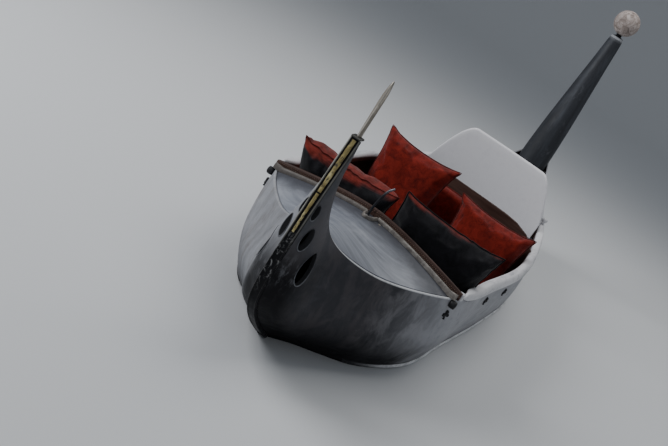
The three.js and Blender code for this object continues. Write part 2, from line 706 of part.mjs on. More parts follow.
const NECK_HIGH = 15;
const neck = turned([[0, 0], [24, 0], [24, 3], [17, 6], [17, NECK_HIGH], [0, NECK_HIGH]], 16);
neck.rotateX(Math.PI / 2);
neck.translate(0, postCentre(POST_TOP), POST_TOP + SEAT_GAP);
add('finial_neck', neck, BLACK);

function ballFinial() {
  const flat = Math.asin(18 / BALL_RADIUS);
  const arc = linspace(flat, Math.PI, 11).map((a) => [BALL_RADIUS * Math.sin(a), -BALL_RADIUS * Math.cos(a)]);
  const foot = arc[0][1];
  arc[arc.length - 1][0] = 0;
  const ball = turned([[0, foot], ...arc], 20);
  ball.rotateX(Math.PI / 2);
  ball.translate(0, postCentre(POST_TOP), POST_TOP + NECK_HIGH + 2 * SEAT_GAP - foot);
  return ball;
}
add('ball_finial', ballFinial(), STONE);

// Cushions: a pillow is a crowned square whose sides pull in between its corners, narrower at its foot by a taper.
function pillow({ width, height, thick, pinch, taper }) {
  const grid = linspace(-1, 1, 8);
  const edge = 3;
  const rings = grid.map((a) => {
    const face = (side) => grid.map((b) => {
      const crown = Math.pow(Math.max((1 - a ** 4) * (1 - b ** 4), 0), 0.45);
      const x = (width / 2) * a * (1 - pinch * (1 - b * b)) * (1 - taper * (1 - b) / 2);
      const up = (height / 2) * b * (1 - pinch * (1 - a * a));
      return vec(x, side * ((thick / 2 - edge) * crown + edge), up);
    });
    return [...face(-1), ...face(1).reverse()];
  });
  return loft(rings);
}

function seatCushion() {
  const low = SEAT_BASE_TOP + SEAT_GAP;
  const rings = linspace(-1, 1, 10).map((a) => {
    const round = 12 * Math.abs(a) ** 12;
    const x = a * 430;
    return [
      vec(x, SEAT_FRONT + 6, low), vec(x, SEAT_FRONT, SEAT_TOP - 24), vec(x, SEAT_FRONT + 16, SEAT_TOP - round),
      vec(x, SEAT_BACK - 12, SEAT_TOP - round), vec(x, SEAT_BACK - 2, SEAT_TOP - 24), vec(x, SEAT_BACK - 4, low),
    ];
  });
  return fromManifold(toManifold(loft(rings)).intersect(insideArms));
}
add('seat_cushion', seatCushion(), RED_CLOTH);

// Padded back between the seat cushion and its board
function backCushion() {
  const rings = linspace(-1, 1, 12).map((a) => {
    const crown = Math.pow(Math.max(1 - a ** 6, 0), 0.5);
    const top = 350 + 66 * crown;
    const low = SEAT_TOP + SEAT_GAP;
    const back = SEAT_BACK - 1;
    const at = (y, z) => vec(a * 372, y, z);
    return [
      at(1905 - 26 * crown, low), at(1902 - 44 * crown, 200), at(1915 - 30 * crown, top - 40), at(1940 - 10 * crown, top),
      at(back - 20, top), at(back, top - 40), at(back, 200), at(back, low),
    ];
  });
  return fromManifold(toManifold(loft(rings)).intersect(insideArms));
}
add('back_cushion', backCushion(), RED_CLOTH);

const PILLOWS = [
  {
    side: 'front_starboard', finish: BLACK_CLOTH, width: 414, height: 431, thick: 180, pinch: 0.06, taper: 0.12,
    lean: 32, yaw: 5, tilt: -1, x: -187, aft: 834, on: THWART_TOP,
  },
  {
    side: 'front_port', finish: BLACK_CLOTH, width: 420, height: 405, thick: 110, pinch: 0.08, taper: 0.2,
    lean: 8, yaw: 18, tilt: 5, x: 218, aft: 812, on: THWART_TOP,
  },
  {
    side: 'rear_starboard', finish: RED_CLOTH, width: 398, height: 450, thick: 110, pinch: 0.1, taper: 0.12,
    lean: -14, yaw: 0, tilt: 0, x: -228, aft: 1740, on: SEAT_TOP,
  },
  {
    side: 'rear_port', finish: RED_CLOTH, width: 398, height: 385, thick: 110, pinch: 0.1, taper: 0.12,
    lean: -14, yaw: 0, tilt: 0, x: 228, aft: 1735, on: SEAT_TOP,
  },
];
function placePillow({ side, finish, lean, yaw, tilt, x, aft, on, ...shape }) {
  const geometry = pillow(shape);
  geometry.rotateY(THREE.MathUtils.degToRad(tilt));
  geometry.rotateX(THREE.MathUtils.degToRad(lean));
  geometry.rotateZ(THREE.MathUtils.degToRad(yaw));
  geometry.computeBoundingBox();
  geometry.translate(x, aft, on + SEAT_GAP - geometry.boundingBox.min.z);
  add(`cushion_${side}`, geometry, finish);
}
PILLOWS.forEach(placePillow);

export default boat;
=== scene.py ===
"""Gondola boat on its CAD frame, in metres: X to port, Y aft, Z up, the waterline at zero height."""
import math
from collections import namedtuple

import bmesh
import bpy
import numpy as np
from mathutils import Matrix, Vector


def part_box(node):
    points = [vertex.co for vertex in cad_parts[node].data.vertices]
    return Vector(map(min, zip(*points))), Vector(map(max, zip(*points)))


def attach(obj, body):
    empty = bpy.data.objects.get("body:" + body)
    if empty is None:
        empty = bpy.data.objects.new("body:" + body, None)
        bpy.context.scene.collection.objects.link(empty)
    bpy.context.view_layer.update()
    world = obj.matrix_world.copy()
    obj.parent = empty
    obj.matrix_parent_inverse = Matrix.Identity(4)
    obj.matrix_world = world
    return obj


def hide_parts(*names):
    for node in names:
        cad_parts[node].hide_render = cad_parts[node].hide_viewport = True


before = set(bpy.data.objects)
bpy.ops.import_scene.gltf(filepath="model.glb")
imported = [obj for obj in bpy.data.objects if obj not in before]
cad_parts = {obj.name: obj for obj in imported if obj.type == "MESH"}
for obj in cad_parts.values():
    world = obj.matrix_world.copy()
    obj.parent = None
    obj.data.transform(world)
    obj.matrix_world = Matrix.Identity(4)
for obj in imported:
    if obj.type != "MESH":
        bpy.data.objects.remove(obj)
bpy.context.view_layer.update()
scene = bpy.context.scene

MM = 0.001
MIDSHIP = 1.76
SKIN = 0.012
SEAT_GAP = 0.0006
THWART_TOP = 0.130
SEAT_TOP = 0.085
BOTH_SIDES = (("port", 1.0), ("starboard", -1.0))

# Hull stations from bow to stern. Each holds half breadth, distance aft of the prow and height, in
# millimetres, on five lines: chine, water, low, high and sheer.
STATIONS = (
    ((16, 350, -60), (16, 238, 0), (16, -66, 220), (16, -75, 450), (16, -27, 765)),
    ((60, 400, -66), (80, 312, 0), (76, 0, 205), (60, -32, 435), (25, -6, 600)),
    ((130, 460, -74), (150, 372, 0), (118, 118, 188), (86, 90, 375), (55, 95, 455)),
    ((235, 570, -84), (258, 480, 0), (250, 330, 150), (210, 290, 285), (186, 272, 374)),
    ((335, 800, -98), (358, 730, 0), (403, 676, 120), (412, 660, 240), (405, 655, 356)),
    ((364, 1180, -110), (390, 1160, 0), (420, 1150, 110), (441, 1150, 220), (447, 1150, 324)),
    ((393, 1720, -114), (420, 1720, 0), (451, 1720, 105), (462, 1720, 212), (467, 1720, 312)),
    ((386, 2280, -108), (421, 2290, 0), (431, 2290, 110), (424, 2290, 222), (409, 2290, 325)),
    ((262, 2860, -90), (294, 2890, 0), (308, 2890, 128), (304, 2880, 256), (288, 2870, 378)),
    ((72, 3270, -70), (88, 3350, 0), (104, 3390, 165), (116, 3395, 340), (118, 3390, 510)),
    ((16, 3400, -60), (16, 3520, 0), (18, 3590, 230), (22, 3590, 450), (30, 3560, 660)),
)
LINES = np.array(STATIONS, float) * MM
LINES[..., 1] -= MIDSHIP


def aft(distance):
    """Y of a distance in millimetres aft of the prow."""
    return distance * MM - MIDSHIP


def smoothstep(value, low, high):
    """Smooth rise from 0 at low to 1 at high."""
    share = np.clip((value - low) / (high - low), 0.0, 1.0)
    return share * share * (3.0 - 2.0 * share)


def unit(vectors):
    return vectors / np.maximum(np.linalg.norm(vectors, axis=-1, keepdims=True), 1e-9)


# Hull lines as smooth surfaces


def spline(points, places, each=False):
    """Centripetal Catmull-Rom curve through points at places from 0 to 1; each gives every place its own curve."""
    padded = np.concatenate((2 * points[:1] - points[1:2], points, 2 * points[-1:] - points[-2:-1]))
    spot = np.clip(places, 0.0, 1.0) * (len(points) - 1)
    first = np.minimum(spot.astype(int), len(points) - 2)
    rows = np.arange(len(places))
    p0, p1, p2, p3 = (padded[first + k, rows] if each else padded[first + k] for k in range(4))
    w = (spot - first).reshape((-1,) + (1,) * (p1.ndim - 1))
    d0, d1, d2 = (
        np.maximum(np.sqrt(np.linalg.norm(b - a, axis=-1, keepdims=True)), 1e-4)
        for a, b in ((p0, p1), (p1, p2), (p2, p3))
    )
    m1 = ((p1 - p0) / d0 - (p2 - p0) / (d0 + d1) + (p2 - p1) / d1) * d1
    m2 = ((p2 - p1) / d1 - (p3 - p1) / (d1 + d2) + (p3 - p2) / d2) * d1
    c2 = -3 * p1 + 3 * p2 - 2 * m1 - m2
    c3 = 2 * p1 - 2 * p2 + m1 + m2
    return ((c3 * w + c2) * w + m1) * w + p1


def side(t, s):
    """Points of the port side at t along the boat and s up from the chine to the sheer."""
    t, s = np.broadcast_arrays(np.asarray(t, float), np.asarray(s, float))
    rows = spline(LINES, t.ravel())
    return spline(rows.transpose(1, 0, 2), s.ravel(), each=True).reshape(t.shape + (3,))


def side_normal(t, s):
    """Outward normals of the port side, from central differences."""
    step = 0.004
    along = side(np.minimum(t + step, 1), s) - side(np.maximum(t - step, 0), s)
    upward = side(t, np.minimum(s + step, 1)) - side(t, np.maximum(s - step, 0))
    normals = unit(np.cross(along, upward))
    return normals * np.where(normals[..., :1] < 0, -1.0, 1.0)


def share_at(t, height):
    """Share s at which the side passes a height at each t, by halving."""
    low, high = np.zeros_like(t), np.ones_like(t)
    for _ in range(24):
        middle = (low + high) / 2
        below = side(t, middle)[..., 2] < height
        low, high = np.where(below, middle, low), np.where(below, high, middle)
    return low


def place_on_side(y, z, t):
    """Shares (t, s) of the port side's points at each y and z, by Newton steps from a first guess of t."""
    t = np.full(np.shape(y), float(t))
    s = share_at(t, z)
    step, damping, last = 1e-3, 0.9, 0.999
    for _ in range(12):
        here = side(t, s)
        dt = (side(t + step, s) - here) / step
        ds = (side(t, s + step) - here) / step
        ey, ez = y - here[..., 1], z - here[..., 2]
        det = dt[..., 1] * ds[..., 2] - dt[..., 2] * ds[..., 1]
        t = np.clip(t + damping * (ey * ds[..., 2] - ez * ds[..., 1]) / det, 0.0, last)
        s = np.clip(s + damping * (ez * dt[..., 1] - ey * dt[..., 2]) / det, 0.0, last)
    return t, s


SHEER = side(np.linspace(0, 1, 3001), 1.0)
INNER_HEIGHTS = np.linspace(-0.07, 0.30, 12)
INNER_PLACES = np.linspace(0.3, 1.0, 400)
INNER_LINES = [side(INNER_PLACES, share_at(INNER_PLACES, height)) for height in INNER_HEIGHTS]


def sheer_at(y):
    """Half breadth and height of the sheer at a place."""
    return np.interp(y, SHEER[:, 1], SHEER[:, 0]), np.interp(y, SHEER[:, 1], SHEER[:, 2])


def inner_half_breadth(y, z):
    """Half breadth of the skin's inner face at each y and z, from a table of the hull's lines."""
    rows = np.array([np.interp(y, line[:, 1], line[:, 0]) for line in INNER_LINES])
    spot = (z - INNER_HEIGHTS[0]) / (INNER_HEIGHTS[1] - INNER_HEIGHTS[0])
    spot = np.clip(spot, 0, len(INNER_HEIGHTS) - 1.001)
    first = spot.astype(int)
    low = np.take_along_axis(rows, first[None], 0)[0]
    high = np.take_along_axis(rows, first[None] + 1, 0)[0]
    return low + (high - low) * (spot - first) - SKIN


def inside_skin(points, clearance):
    """X of points held within the hull's inner face, less a clearance."""
    limit = inner_half_breadth(points[..., 1], points[..., 2]) - clearance
    return np.sign(points[..., 0]) * np.minimum(np.abs(points[..., 0]), limit)


DECK_FORE, DECK_AFT = aft(62), aft(640)
RIDGE_FORE, RIDGE_AFT = 0.450, 0.424
DECK_BELOW_SHEER = 0.005


def deck_top(x, y):
    """Height of the foredeck, which falls from its ridge to just under the sheer as the share of the breadth^1.6."""
    breadth, edge = sheer_at(y)
    ridge = RIDGE_FORE + (RIDGE_AFT - RIDGE_FORE) * (y - DECK_FORE) / (DECK_AFT - DECK_FORE)
    share = np.minimum(np.sqrt(x * x + 1e-4) / breadth, 1.1)
    return ridge + (edge - DECK_BELOW_SHEER - ridge) * share**1.6


# Materials. Colours are display values from 0 to 255.

EVEN = (1.0, 1.0, 1.0)


def linear(colour):
    """Linear colour of display values; anything but a tuple stays as it is."""
    if not isinstance(colour, tuple):
        return colour
    channels = np.array(colour) / 255.0
    return (*np.where(channels <= 0.04045, channels / 12.92, ((channels + 0.055) / 1.055) ** 2.4).tolist(), 1.0)


class Value:
    """What a node of a look puts out, to calculate with."""

    def __init__(self, look, socket):
        self.look, self.socket = look, socket

    def math(self, operation, other=0.0):
        return self.look.math(operation, self, other)

    def __mul__(self, other):
        return self.math("MULTIPLY", other)

    def __add__(self, other):
        return self.math("ADD", other)

    def __sub__(self, other):
        return self.math("SUBTRACT", other)

    def __rsub__(self, other):
        return self.look.math("SUBTRACT", other, self)

    def __abs__(self):
        return self.math("ABSOLUTE")

    def rise(self, low, high, to_low=0.0, to_high=1.0):
        """Smooth passage from to_low to to_high while the value goes from low to high."""
        settings = {"Value": self, "From Min": low, "From Max": high, "To Min": to_low, "To Max": to_high}
        return self.look.node("ShaderNodeMapRange", settings, interpolation_type="SMOOTHSTEP")

    def over(self, to_low, to_high):
        """Smooth passage over a noise's middle range."""
        return self.rise(0.3, 0.7, to_low, to_high)


class Look:
    """Procedural material under construction: its surface shader, its paint so far and a chain of bumps."""

    def __init__(self, name, roughness=0.5, metallic=0.0, specular=0.5):
        self.material = bpy.data.materials.new(name)
        self.material.use_nodes = True
        self.tree = self.material.node_tree
        self.sockets = self.tree.nodes["Principled BSDF"].inputs
        for key, value in (("Roughness", roughness), ("Metallic", metallic), ("Specular IOR Level", specular)):
            self.sockets[key].default_value = value
        self.coords = self.node("ShaderNodeTexCoord", {}, "Object")
        self.paint = None
        self.last_bump = None

    def node(self, kind, inputs, output=0, **settings):
        node = self.tree.nodes.new(kind)
        for key, value in settings.items():
            setattr(node, key, value)
        for key, value in inputs.items():
            if isinstance(value, Value):
                self.tree.links.new(value.socket, node.inputs[key])
            else:
                node.inputs[key].default_value = value
        return Value(self, node.outputs[output])

    def math(self, operation, first, second):
        return self.node("ShaderNodeMath", {0: first, 1: second}, operation=operation)

    def noise(self, scale, stretch=EVEN, detail=4.0, rough=0.55, warp=0.0, shift=(0.0, 0.0, 0.0)):
        mapping = {"Vector": self.coords, "Scale": stretch, "Location": shift}
        return self.noise_at(self.node("ShaderNodeMapping", mapping), scale, detail, rough, warp)

    def noise_at(self, vector, scale, detail, rough, warp):
        settings = {"Vector": vector, "Scale": scale, "Detail": detail, "Roughness": rough, "Distortion": warp}
        return self.node("ShaderNodeTexNoise", settings, "Fac")

    def ramp(self, value, *stops):
        """Colour of a value; each stop is a position and its colour."""
        colour = self.node("ShaderNodeValToRGB", {"Fac": value})
        elements = colour.socket.node.color_ramp.elements
        while len(elements) < len(stops):
            elements.new(0.5)
        for element, (position, *display) in zip(elements, stops):
            element.position = position
            element.color = linear(tuple(display))
        return colour

    def mix(self, factor, first, second):
        return self.node("ShaderNodeMix", {0: factor, 6: linear(first), 7: linear(second)}, 2, data_type="RGBA")

    def lay(self, mask, colour):
        """Another colour over the paint where the mask says so."""
        self.paint = self.mix(mask, self.paint, colour)

    def stain(self, value, low, high, most, colour):
        """Another colour over the paint as a value goes from low to high, up to a share of most."""
        self.lay(value.rise(low, high, 0.0, most), colour)

    def axes(self):
        apart = self.node("ShaderNodeSeparateXYZ", {"Vector": self.coords})
        return [Value(self, socket) for socket in apart.socket.node.outputs]

    def attribute(self, name):
        return self.node("ShaderNodeAttribute", {}, "Fac", attribute_name=name)

    def bumps(self, *rows):
        """Bumps on top of each other; each row is a height, its depth in metres and its strength."""
        for height, distance, strength in rows:
            inputs = {"Height": height, "Distance": distance, "Strength": strength}
            if self.last_bump is not None:
                inputs["Normal"] = self.last_bump
            self.last_bump = self.node("ShaderNodeBump", inputs)

    def done(self, roughness=None, metallic=None):
        links = {"Base Color": self.paint, "Roughness": roughness, "Metallic": metallic, "Normal": self.last_bump}
        for key, value in links.items():
            if value is not None:
                self.tree.links.new(value.socket, self.sockets[key])
        return self.material


def hull_look():
    """Smudged grey paint: near black beside the stem and, as painted shade, low at the bow; the port side lifted
    paler as painted light, its bow dark partly as painted shade and paler aft and to starboard of it; brown inside,
    partly painted shade.
    """
    look = Look("hull_paint", specular=0.08)
    x, y, z = look.axes()
    off_centre = abs(x)
    streak = look.noise(5.0, (1.4, 3.6, 0.5), 6.0, 0.6, 0.3)
    fine = look.noise(26.0, (1.0, 3.0, 0.35), 5.0, 0.6)
    blotch = look.noise(13.0, (1.0, 1.3, 0.7), 5.0, 0.62, 0.5)
    smear = look.noise(9.0, (1.0, 0.8, 1.6), 6.0, 0.68, 1.2, (3.0, 1.0, 0.0))
    greys = (0.3, 114, 115, 119), (0.5, 129, 130, 134), (0.7, 141, 143, 148), (0.85, 151, 153, 158)
    look.paint = look.ramp(streak, *greys)
    look.stain(blotch, 0.48, 0.68, 0.5, (100, 95, 94))
    look.stain(blotch, 0.46, 0.3, 0.25, (148, 150, 156))
    look.stain(fine, 0.45, 0.75, 0.3, (158, 160, 166))
    to_port = x.rise(-0.01, 0.02)
    # Paler over the whole port side: painted light on the side in shade
    look.lay(to_port * 0.6, (170, 171, 176))
    # Dark bow to port, with an edge that wanders: partly dark paint, partly painted shade on the side away from the
    # light
    wander = y + blotch.over(-0.06, 0.06)
    ahead = to_port * wander.rise(-1.06, -1.46)
    dark = look.mix(blotch.rise(0.36, 0.62), (30, 30, 35), (56, 52, 54))
    dark = look.mix(smear.rise(0.5, 0.72, 0.0, 0.35), dark, (76, 76, 80))
    look.lay(ahead * z.rise(0.50, 0.34, 0.80, 0.92), dark)
    # Near black low at the bow, strongest to port: painted shade where the flared flank faces down
    low = wander.rise(-0.90, -1.22, 0.15, 1.0) * z.rise(0.22, 0.05) * to_port.rise(0.0, 1.0, 0.45, 0.95)
    look.lay(low, (11, 11, 14))
    # Black beside the stem, scuffed between the holes
    beside = off_centre.rise(0.115, 0.055) * z.rise(0.44, 0.30)
    scuff = look.noise(48.0, (1.0, 1.0, 0.45), 5.0, 0.7).rise(0.46, 0.68)
    scuff = scuff * (z.rise(0.25, 0.34) * z.rise(0.45, 0.38)) * off_centre.rise(0.10, 0.06, 0.0, 0.7)
    look.lay(beside * 0.92, look.mix(scuff, (9, 9, 12), (104, 105, 109)))
    mottle = look.noise(44.0, (1.0, 1.4, 0.8), 6.0, 0.72, 0.4, (7.0, 2.0, 0.0)).rise(0.54, 0.68)
    look.lay(mottle * wander.rise(-1.22, -1.02, 0.12, 0.5), (74, 74, 78))
    # Wet line, chips, pale rim and inner face
    look.lay(z.rise(0.012, 0.006) * 0.9, (14, 15, 16))
    chips = look.noise(60.0, EVEN, 3.0, 0.7).rise(0.7, 0.76) * look.noise(4.0, EVEN, 2.0).rise(0.5, 0.65)
    look.lay(chips * 0.4, (170, 170, 172))
    rim = look.attribute("rim") * fine.rise(0.25, 0.5, 0.55, 1.0) * to_port.rise(0.0, 1.0, 0.2, 1.0)
    look.lay(rim, (200, 201, 203))
    # Dark brown on the inner face: partly brown paint, partly painted shade
    look.lay(look.attribute("inner"), look.mix(fine.over(0.0, 1.0), (34, 20, 17), (58, 34, 27)))
    look.bumps((streak, 0.0010, 0.4), (smear, 0.0014, 0.3), (fine, 0.0003, 0.4))
    return look.done(smear.over(0.36, 0.62) + low * 0.25)


def deck_look():
    """Light blue-grey paint with long brush arcs around the ridge's aft end, paler towards the sheer as painted light
    and darker towards its aft edge as painted shadow.
    """
    look = Look("deck_paint", specular=0.4)
    x, y, _ = look.axes()
    across, along = x - 0.03, -1.12 - y
    distance = (across * across + along * along).math("SQRT")
    angle = across.math("ARCTAN2", along)

    def arcs(rings, turns, rough, shift):
        polar = {0: distance * rings, 1: angle * turns, 2: shift}
        return look.noise_at(look.node("ShaderNodeCombineXYZ", polar), 1.0, 4.0, rough, 0.25)

    broad, fine = arcs(34.0, 1.3, 0.6, 0.0), arcs(120.0, 2.6, 0.65, 7.0)
    patch = look.noise(7.0, EVEN, 6.0, 0.62, 0.8)
    grit = look.noise(90.0, EVEN, 3.0, 0.6)
    greys = (0.3, 94, 98, 107), (0.48, 117, 121, 130), (0.62, 134, 138, 146), (0.78, 156, 159, 166)
    look.paint = look.ramp(broad, *greys)
    look.stain(fine, 0.52, 0.72, 0.4, (158, 161, 168))
    look.stain(fine, 0.46, 0.3, 0.4, (86, 90, 98))
    look.stain(patch, 0.52, 0.74, 0.45, (158, 161, 167))
    look.stain(patch, 0.42, 0.25, 0.4, (82, 86, 94))
    # Paler towards the sheer: painted light on the crowned deck's falling sides
    look.stain(abs(x), 0.10, 0.34, 0.42, (172, 175, 182))
    # Darker towards the aft edge: painted shadow along the coaming
    look.stain(y + patch.over(-0.03, 0.03), -1.37, -1.17, 0.9, (50, 52, 60))
    look.stain(grit, 0.6, 0.8, 0.3, (76, 78, 84))
    look.bumps((broad, 0.0006, 0.35), (fine, 0.0003, 0.4), (grit, 0.0002, 0.4))
    return look.done(patch.over(0.32, 0.55))


def black_look():
    """Worn black paint, scuffed pale between the stem's holes, with a painted highlight along its marked edges."""
    look = Look("black_paint", specular=0.12)
    z = look.axes()[2]
    wide = look.noise(30.0, (1.0, 1.0, 0.4), 5.0, 0.65)
    grain = look.noise(180.0, (1.0, 1.0, 0.25), 4.0, 0.6)
    look.paint = look.ramp(wide, (0.3, 8, 8, 11), (0.6, 16, 16, 19), (0.8, 36, 35, 37))
    scuff = look.noise(55.0, (1.0, 1.0, 0.7), 5.0, 0.75, 0.6).rise(0.52, 0.64)
    look.lay(scuff * (z.rise(0.23, 0.34) * z.rise(0.47, 0.42)) * 0.7, (150, 150, 150))
    # Painted highlight along the marked edges, broken up by noise and fading out low down
    edge_highlight = look.attribute("edge") * wide.rise(0.34, 0.5, 0.45, 1.0)
    look.lay(edge_highlight * z.rise(0.38, 0.52, 0.02, 1.0), (168, 166, 158))
    look.bumps((wide, 0.0006, 0.5), (grain, 0.0002, 0.5))
    return look.done(wide.over(0.35, 0.6))


def gold_look():
    """Patchy gilding, olive where it thins and bare dark ground where it is gone."""
    look = Look("gold_leaf", roughness=0.4)
    flake = look.noise(150.0, (1.0, 1.0, 0.4), 6.0, 0.75, 0.4)
    tone = look.noise(60.0, (1.0, 1.0, 0.5), 4.0)
    look.paint = look.ramp(tone, (0.3, 122, 108, 68), (0.5, 172, 156, 104), (0.7, 218, 206, 156))
    gone = flake.rise(0.48, 0.41)
    look.lay(gone, (50, 45, 34))
    look.bumps((flake, 0.0006, 0.7))
    return look.done(flake.over(0.6, 0.34), gone.rise(0.0, 1.0, 0.7, 0.1))


def steel_look():
    """Tarnished metal with lengthwise scratches, and a painted highlight along its middle rib."""
    look = Look("bright_steel")
    scratch = look.noise(140.0, (1.0, 1.0, 0.08), 4.0, 0.6)
    tarnish = look.noise(45.0, (1.0, 1.0, 0.4), 5.0, 0.68)
    look.paint = look.ramp(tarnish, (0.3, 104, 97, 88), (0.55, 150, 142, 131), (0.8, 190, 183, 172))
    # Painted highlight along the rib's crest
    look.stain(abs(look.axes()[0]), 0.0019, 0.0007, 0.65, (206, 200, 190))
    look.bumps((scratch, 0.0003, 0.6))
    return look.done(tarnish.over(0.52, 0.3), tarnish.over(0.35, 0.7))


def rod_look():
    """Dark grey metal rod, lighter towards its tip."""
    look = Look("rod_steel", metallic=0.6)
    rub = look.noise(90.0, (1.0, 1.0, 0.3), 4.0, 0.65)
    look.paint = look.mix(look.axes()[2].rise(0.52, 0.565), (36, 37, 42), (112, 114, 120))
    look.stain(rub, 0.5, 0.75, 0.5, (92, 84, 76))
    look.bumps((rub, 0.0004, 0.6))
    return look.done(rub.over(0.35, 0.6))


def trim_look(name, light, dark, wear):
    """Pale brushed paint over wood: streaks along the boat, grey scuffs, and dark brown on the inboard face, partly
    brown wood and partly painted shade.
    """
    look = Look(name, specular=0.35)
    brush = look.noise(34.0, (1.0, 0.12, 1.0), 5.0, 0.6)
    scuff = look.noise(22.0, (1.0, 0.6, 1.0), 6.0, 0.72, 0.8)
    grit = look.noise(160.0, EVEN, 3.0, 0.6)
    look.paint = look.ramp(brush, (0.3, *dark), (0.5, *light), (0.72, 212, 211, 213))
    look.stain(scuff, 0.5, 0.7, 0.6 * wear, (128, 129, 134))
    look.stain(grit, 0.62, 0.74, 0.35 * wear, (96, 92, 90))
    look.stain(look.axes()[1], 0.0, 0.7, 0.5, (226, 225, 227))
    # Dark brown on the inboard face: partly brown wood, partly painted shade
    look.lay(look.attribute("inner"), look.mix(brush.rise(0.35, 0.65), (38, 20, 17), (66, 38, 30)))
    look.bumps((brush, 0.0005, 0.5 * wear), (scuff, 0.0007, 0.35 * wear))
    return look.done(scuff.over(0.42, 0.62))


def speckled_look(name, specular, noise, bump, stops, dull=False):
    """Paint or wood speckled by one fine noise, which is also its relief and, where it is dull, its roughness."""
    look = Look(name, specular=specular)
    rub = look.noise(*noise)
    look.paint = look.ramp(rub, *stops)
    look.bumps((rub, *bump))
    return look.done(rub.over(0.5, 0.75) if dull else None)


def lip_look():
    """Paint of the holes' lips: paler along their lower edge only."""
    look = Look("lip_paint", specular=0.4)
    wear = look.noise(120.0, EVEN, 3.0, 0.6)
    look.paint = look.mix(look.attribute("pale") * wear.rise(0.35, 0.6, 0.2, 0.7), (60, 61, 66), (120, 122, 127))
    look.bumps((wear, 0.0003, 0.6))
    return look.done()


def strip_look():
    """Grey-brown moulding with grime in its grooves, darker to starboard as painted shade."""
    look = Look("strip_trim", specular=0.35)
    grime = look.noise(40.0, EVEN, 5.0, 0.68, 0.5)
    brush = look.noise(70.0, (0.15, 1.0, 1.0), 4.0, 0.6)
    look.paint = look.ramp(grime, (0.28, 66, 60, 57), (0.48, 108, 103, 98), (0.72, 146, 141, 135))
    look.stain(brush, 0.5, 0.75, 0.4, (160, 154, 147))
    # Darker to starboard: painted shade
    look.stain(look.axes()[0], 0.02, -0.06, 0.7, (84, 78, 74))
    look.bumps((grime, 0.0005, 0.4), (brush, 0.0003, 0.4))
    return look.done(grime.over(0.65, 0.45))


def strake_look(name, near, far):
    """Worn paint that goes from one colour to another by the fade along the hull."""
    look = Look(name, specular=0.35)
    wear = look.noise(70.0, (1.0, 0.2, 1.0), 5.0, 0.65)
    look.paint = look.mix(look.attribute("fade") * wear.rise(0.3, 0.6, 0.6, 1.0), far, near)
    look.bumps((wear, 0.0005, 0.5))
    return look.done(wear.over(0.6, 0.4))


def slate_look():
    """Dark slate paint with faint upright streaks and rubbed patches."""
    look = Look("slate_paint", specular=0.4)
    streak = look.noise(14.0, (1.6, 1.6, 0.12), 5.0, 0.6)
    rub = look.noise(22.0, (1.0, 1.0, 0.5), 6.0, 0.7, 0.5)
    look.paint = look.ramp(streak, (0.3, 24, 26, 31), (0.55, 40, 43, 49), (0.8, 66, 70, 77))
    look.stain(rub, 0.56, 0.74, 0.5, (92, 95, 101))
    # Pale where the edge mark is: painted highlight along the stern bar's beads, and the bright rim near the post's
    # top
    look.lay(look.attribute("edge"), (150, 152, 156))
    look.bumps((streak, 0.0008, 0.4), (rub, 0.0006, 0.4))
    return look.done(rub.over(0.5, 0.72))


def stone_look():
    """Mottled grey-brown, pitted surface."""
    look = Look("stone", specular=0.3)
    mottle = look.noise(26.0, EVEN, 6.0, 0.7, 0.8)
    spots = look.noise(75.0, EVEN, 4.0, 0.65)
    tones = (0.3, 102, 92, 86), (0.48, 148, 136, 130), (0.62, 182, 172, 167), (0.78, 212, 206, 202)
    look.paint = look.ramp(mottle, *tones)
    look.stain(spots, 0.58, 0.68, 0.6, (74, 62, 54))
    look.bumps((mottle, 0.003, 0.6), (spots, 0.001, 0.6))
    return look.done(spots.over(0.6, 0.85))


def wood_look(name, stretch, dark, light, plank=None):
    """Oiled brown boards with their grain along one axis, and dark joints where a plank width is given."""
    look = Look(name, specular=0.3)
    grain = look.noise(60.0, stretch, 6.0, 0.65, 0.6)
    broad = look.noise(9.0, stretch, 4.0, 0.55, 0.4)
    look.paint = look.ramp(grain, (0.3, *dark), (0.7, *light))
    look.stain(broad, 0.35, 0.7, 0.5, dark)
    if plank:
        across = (look.axes()[0] + 10.0).math("DIVIDE", plank).math("FRACT")
        joint = abs(across - 0.5).rise(0.47, 0.495)
        look.lay(joint, (12, 8, 6))
        look.bumps((joint, -0.002, 0.8))
    look.bumps((grain, 0.0007, 0.5))
    return look.done(grain.over(0.45, 0.7))


def cloth_look(name, dark, light, reverse=None):
    """Woven upholstery: crossed threads from the flat cut, soft nap, fuzz, and another colour on its reverse."""
    look = Look(name, roughness=0.85, specular=0.15)
    look.sockets["Sheen Weight"].default_value = 0.12
    look.sockets["Sheen Roughness"].default_value = 0.5
    flat = look.node("ShaderNodeUVMap", {}, uv_map="cut")
    thread = {"Vector": flat, "Scale": 95.0, "Distortion": 0.8, "Detail": 2.0}
    weft, warp = (
        look.node("ShaderNodeTexWave", thread, "Fac", wave_type="BANDS", bands_direction=axis) for axis in "XY"
    )
    weave = weft * warp
    nap = look.noise(26.0, EVEN, 6.0, 0.7, 0.6)
    fuzz = look.noise(240.0, EVEN, 3.0, 0.7)
    look.paint = look.ramp(nap, (0.32, *dark), (0.66, *light))
    if reverse:
        look.lay(look.attribute("reverse"), look.ramp(nap, (0.32, *reverse[0]), (0.66, *reverse[1])))
    look.lay(weave.rise(0.1, 0.9, 0.35, 0.0), (0, 0, 0))
    look.stain(fuzz, 0.55, 0.8, 0.25, light)
    look.bumps((weave, 0.0012, 0.5), (nap, 0.0025, 0.35), (fuzz, 0.0006, 0.4))
    return look.done(nap.over(0.95, 0.75))


HULL = hull_look()
DECK = deck_look()
BLACK = black_look()
GOLD = gold_look()
STEEL = steel_look()
ROD = rod_look()
TRIM = trim_look("pale_trim", (206, 205, 207), (172, 172, 176), 0.9)
SHELL = trim_look("pale_shell", (214, 212, 215), (204, 202, 206), 0.1)
STRIP = strip_look()
SLATE = slate_look()
STONE = stone_look()
LIP = lip_look()
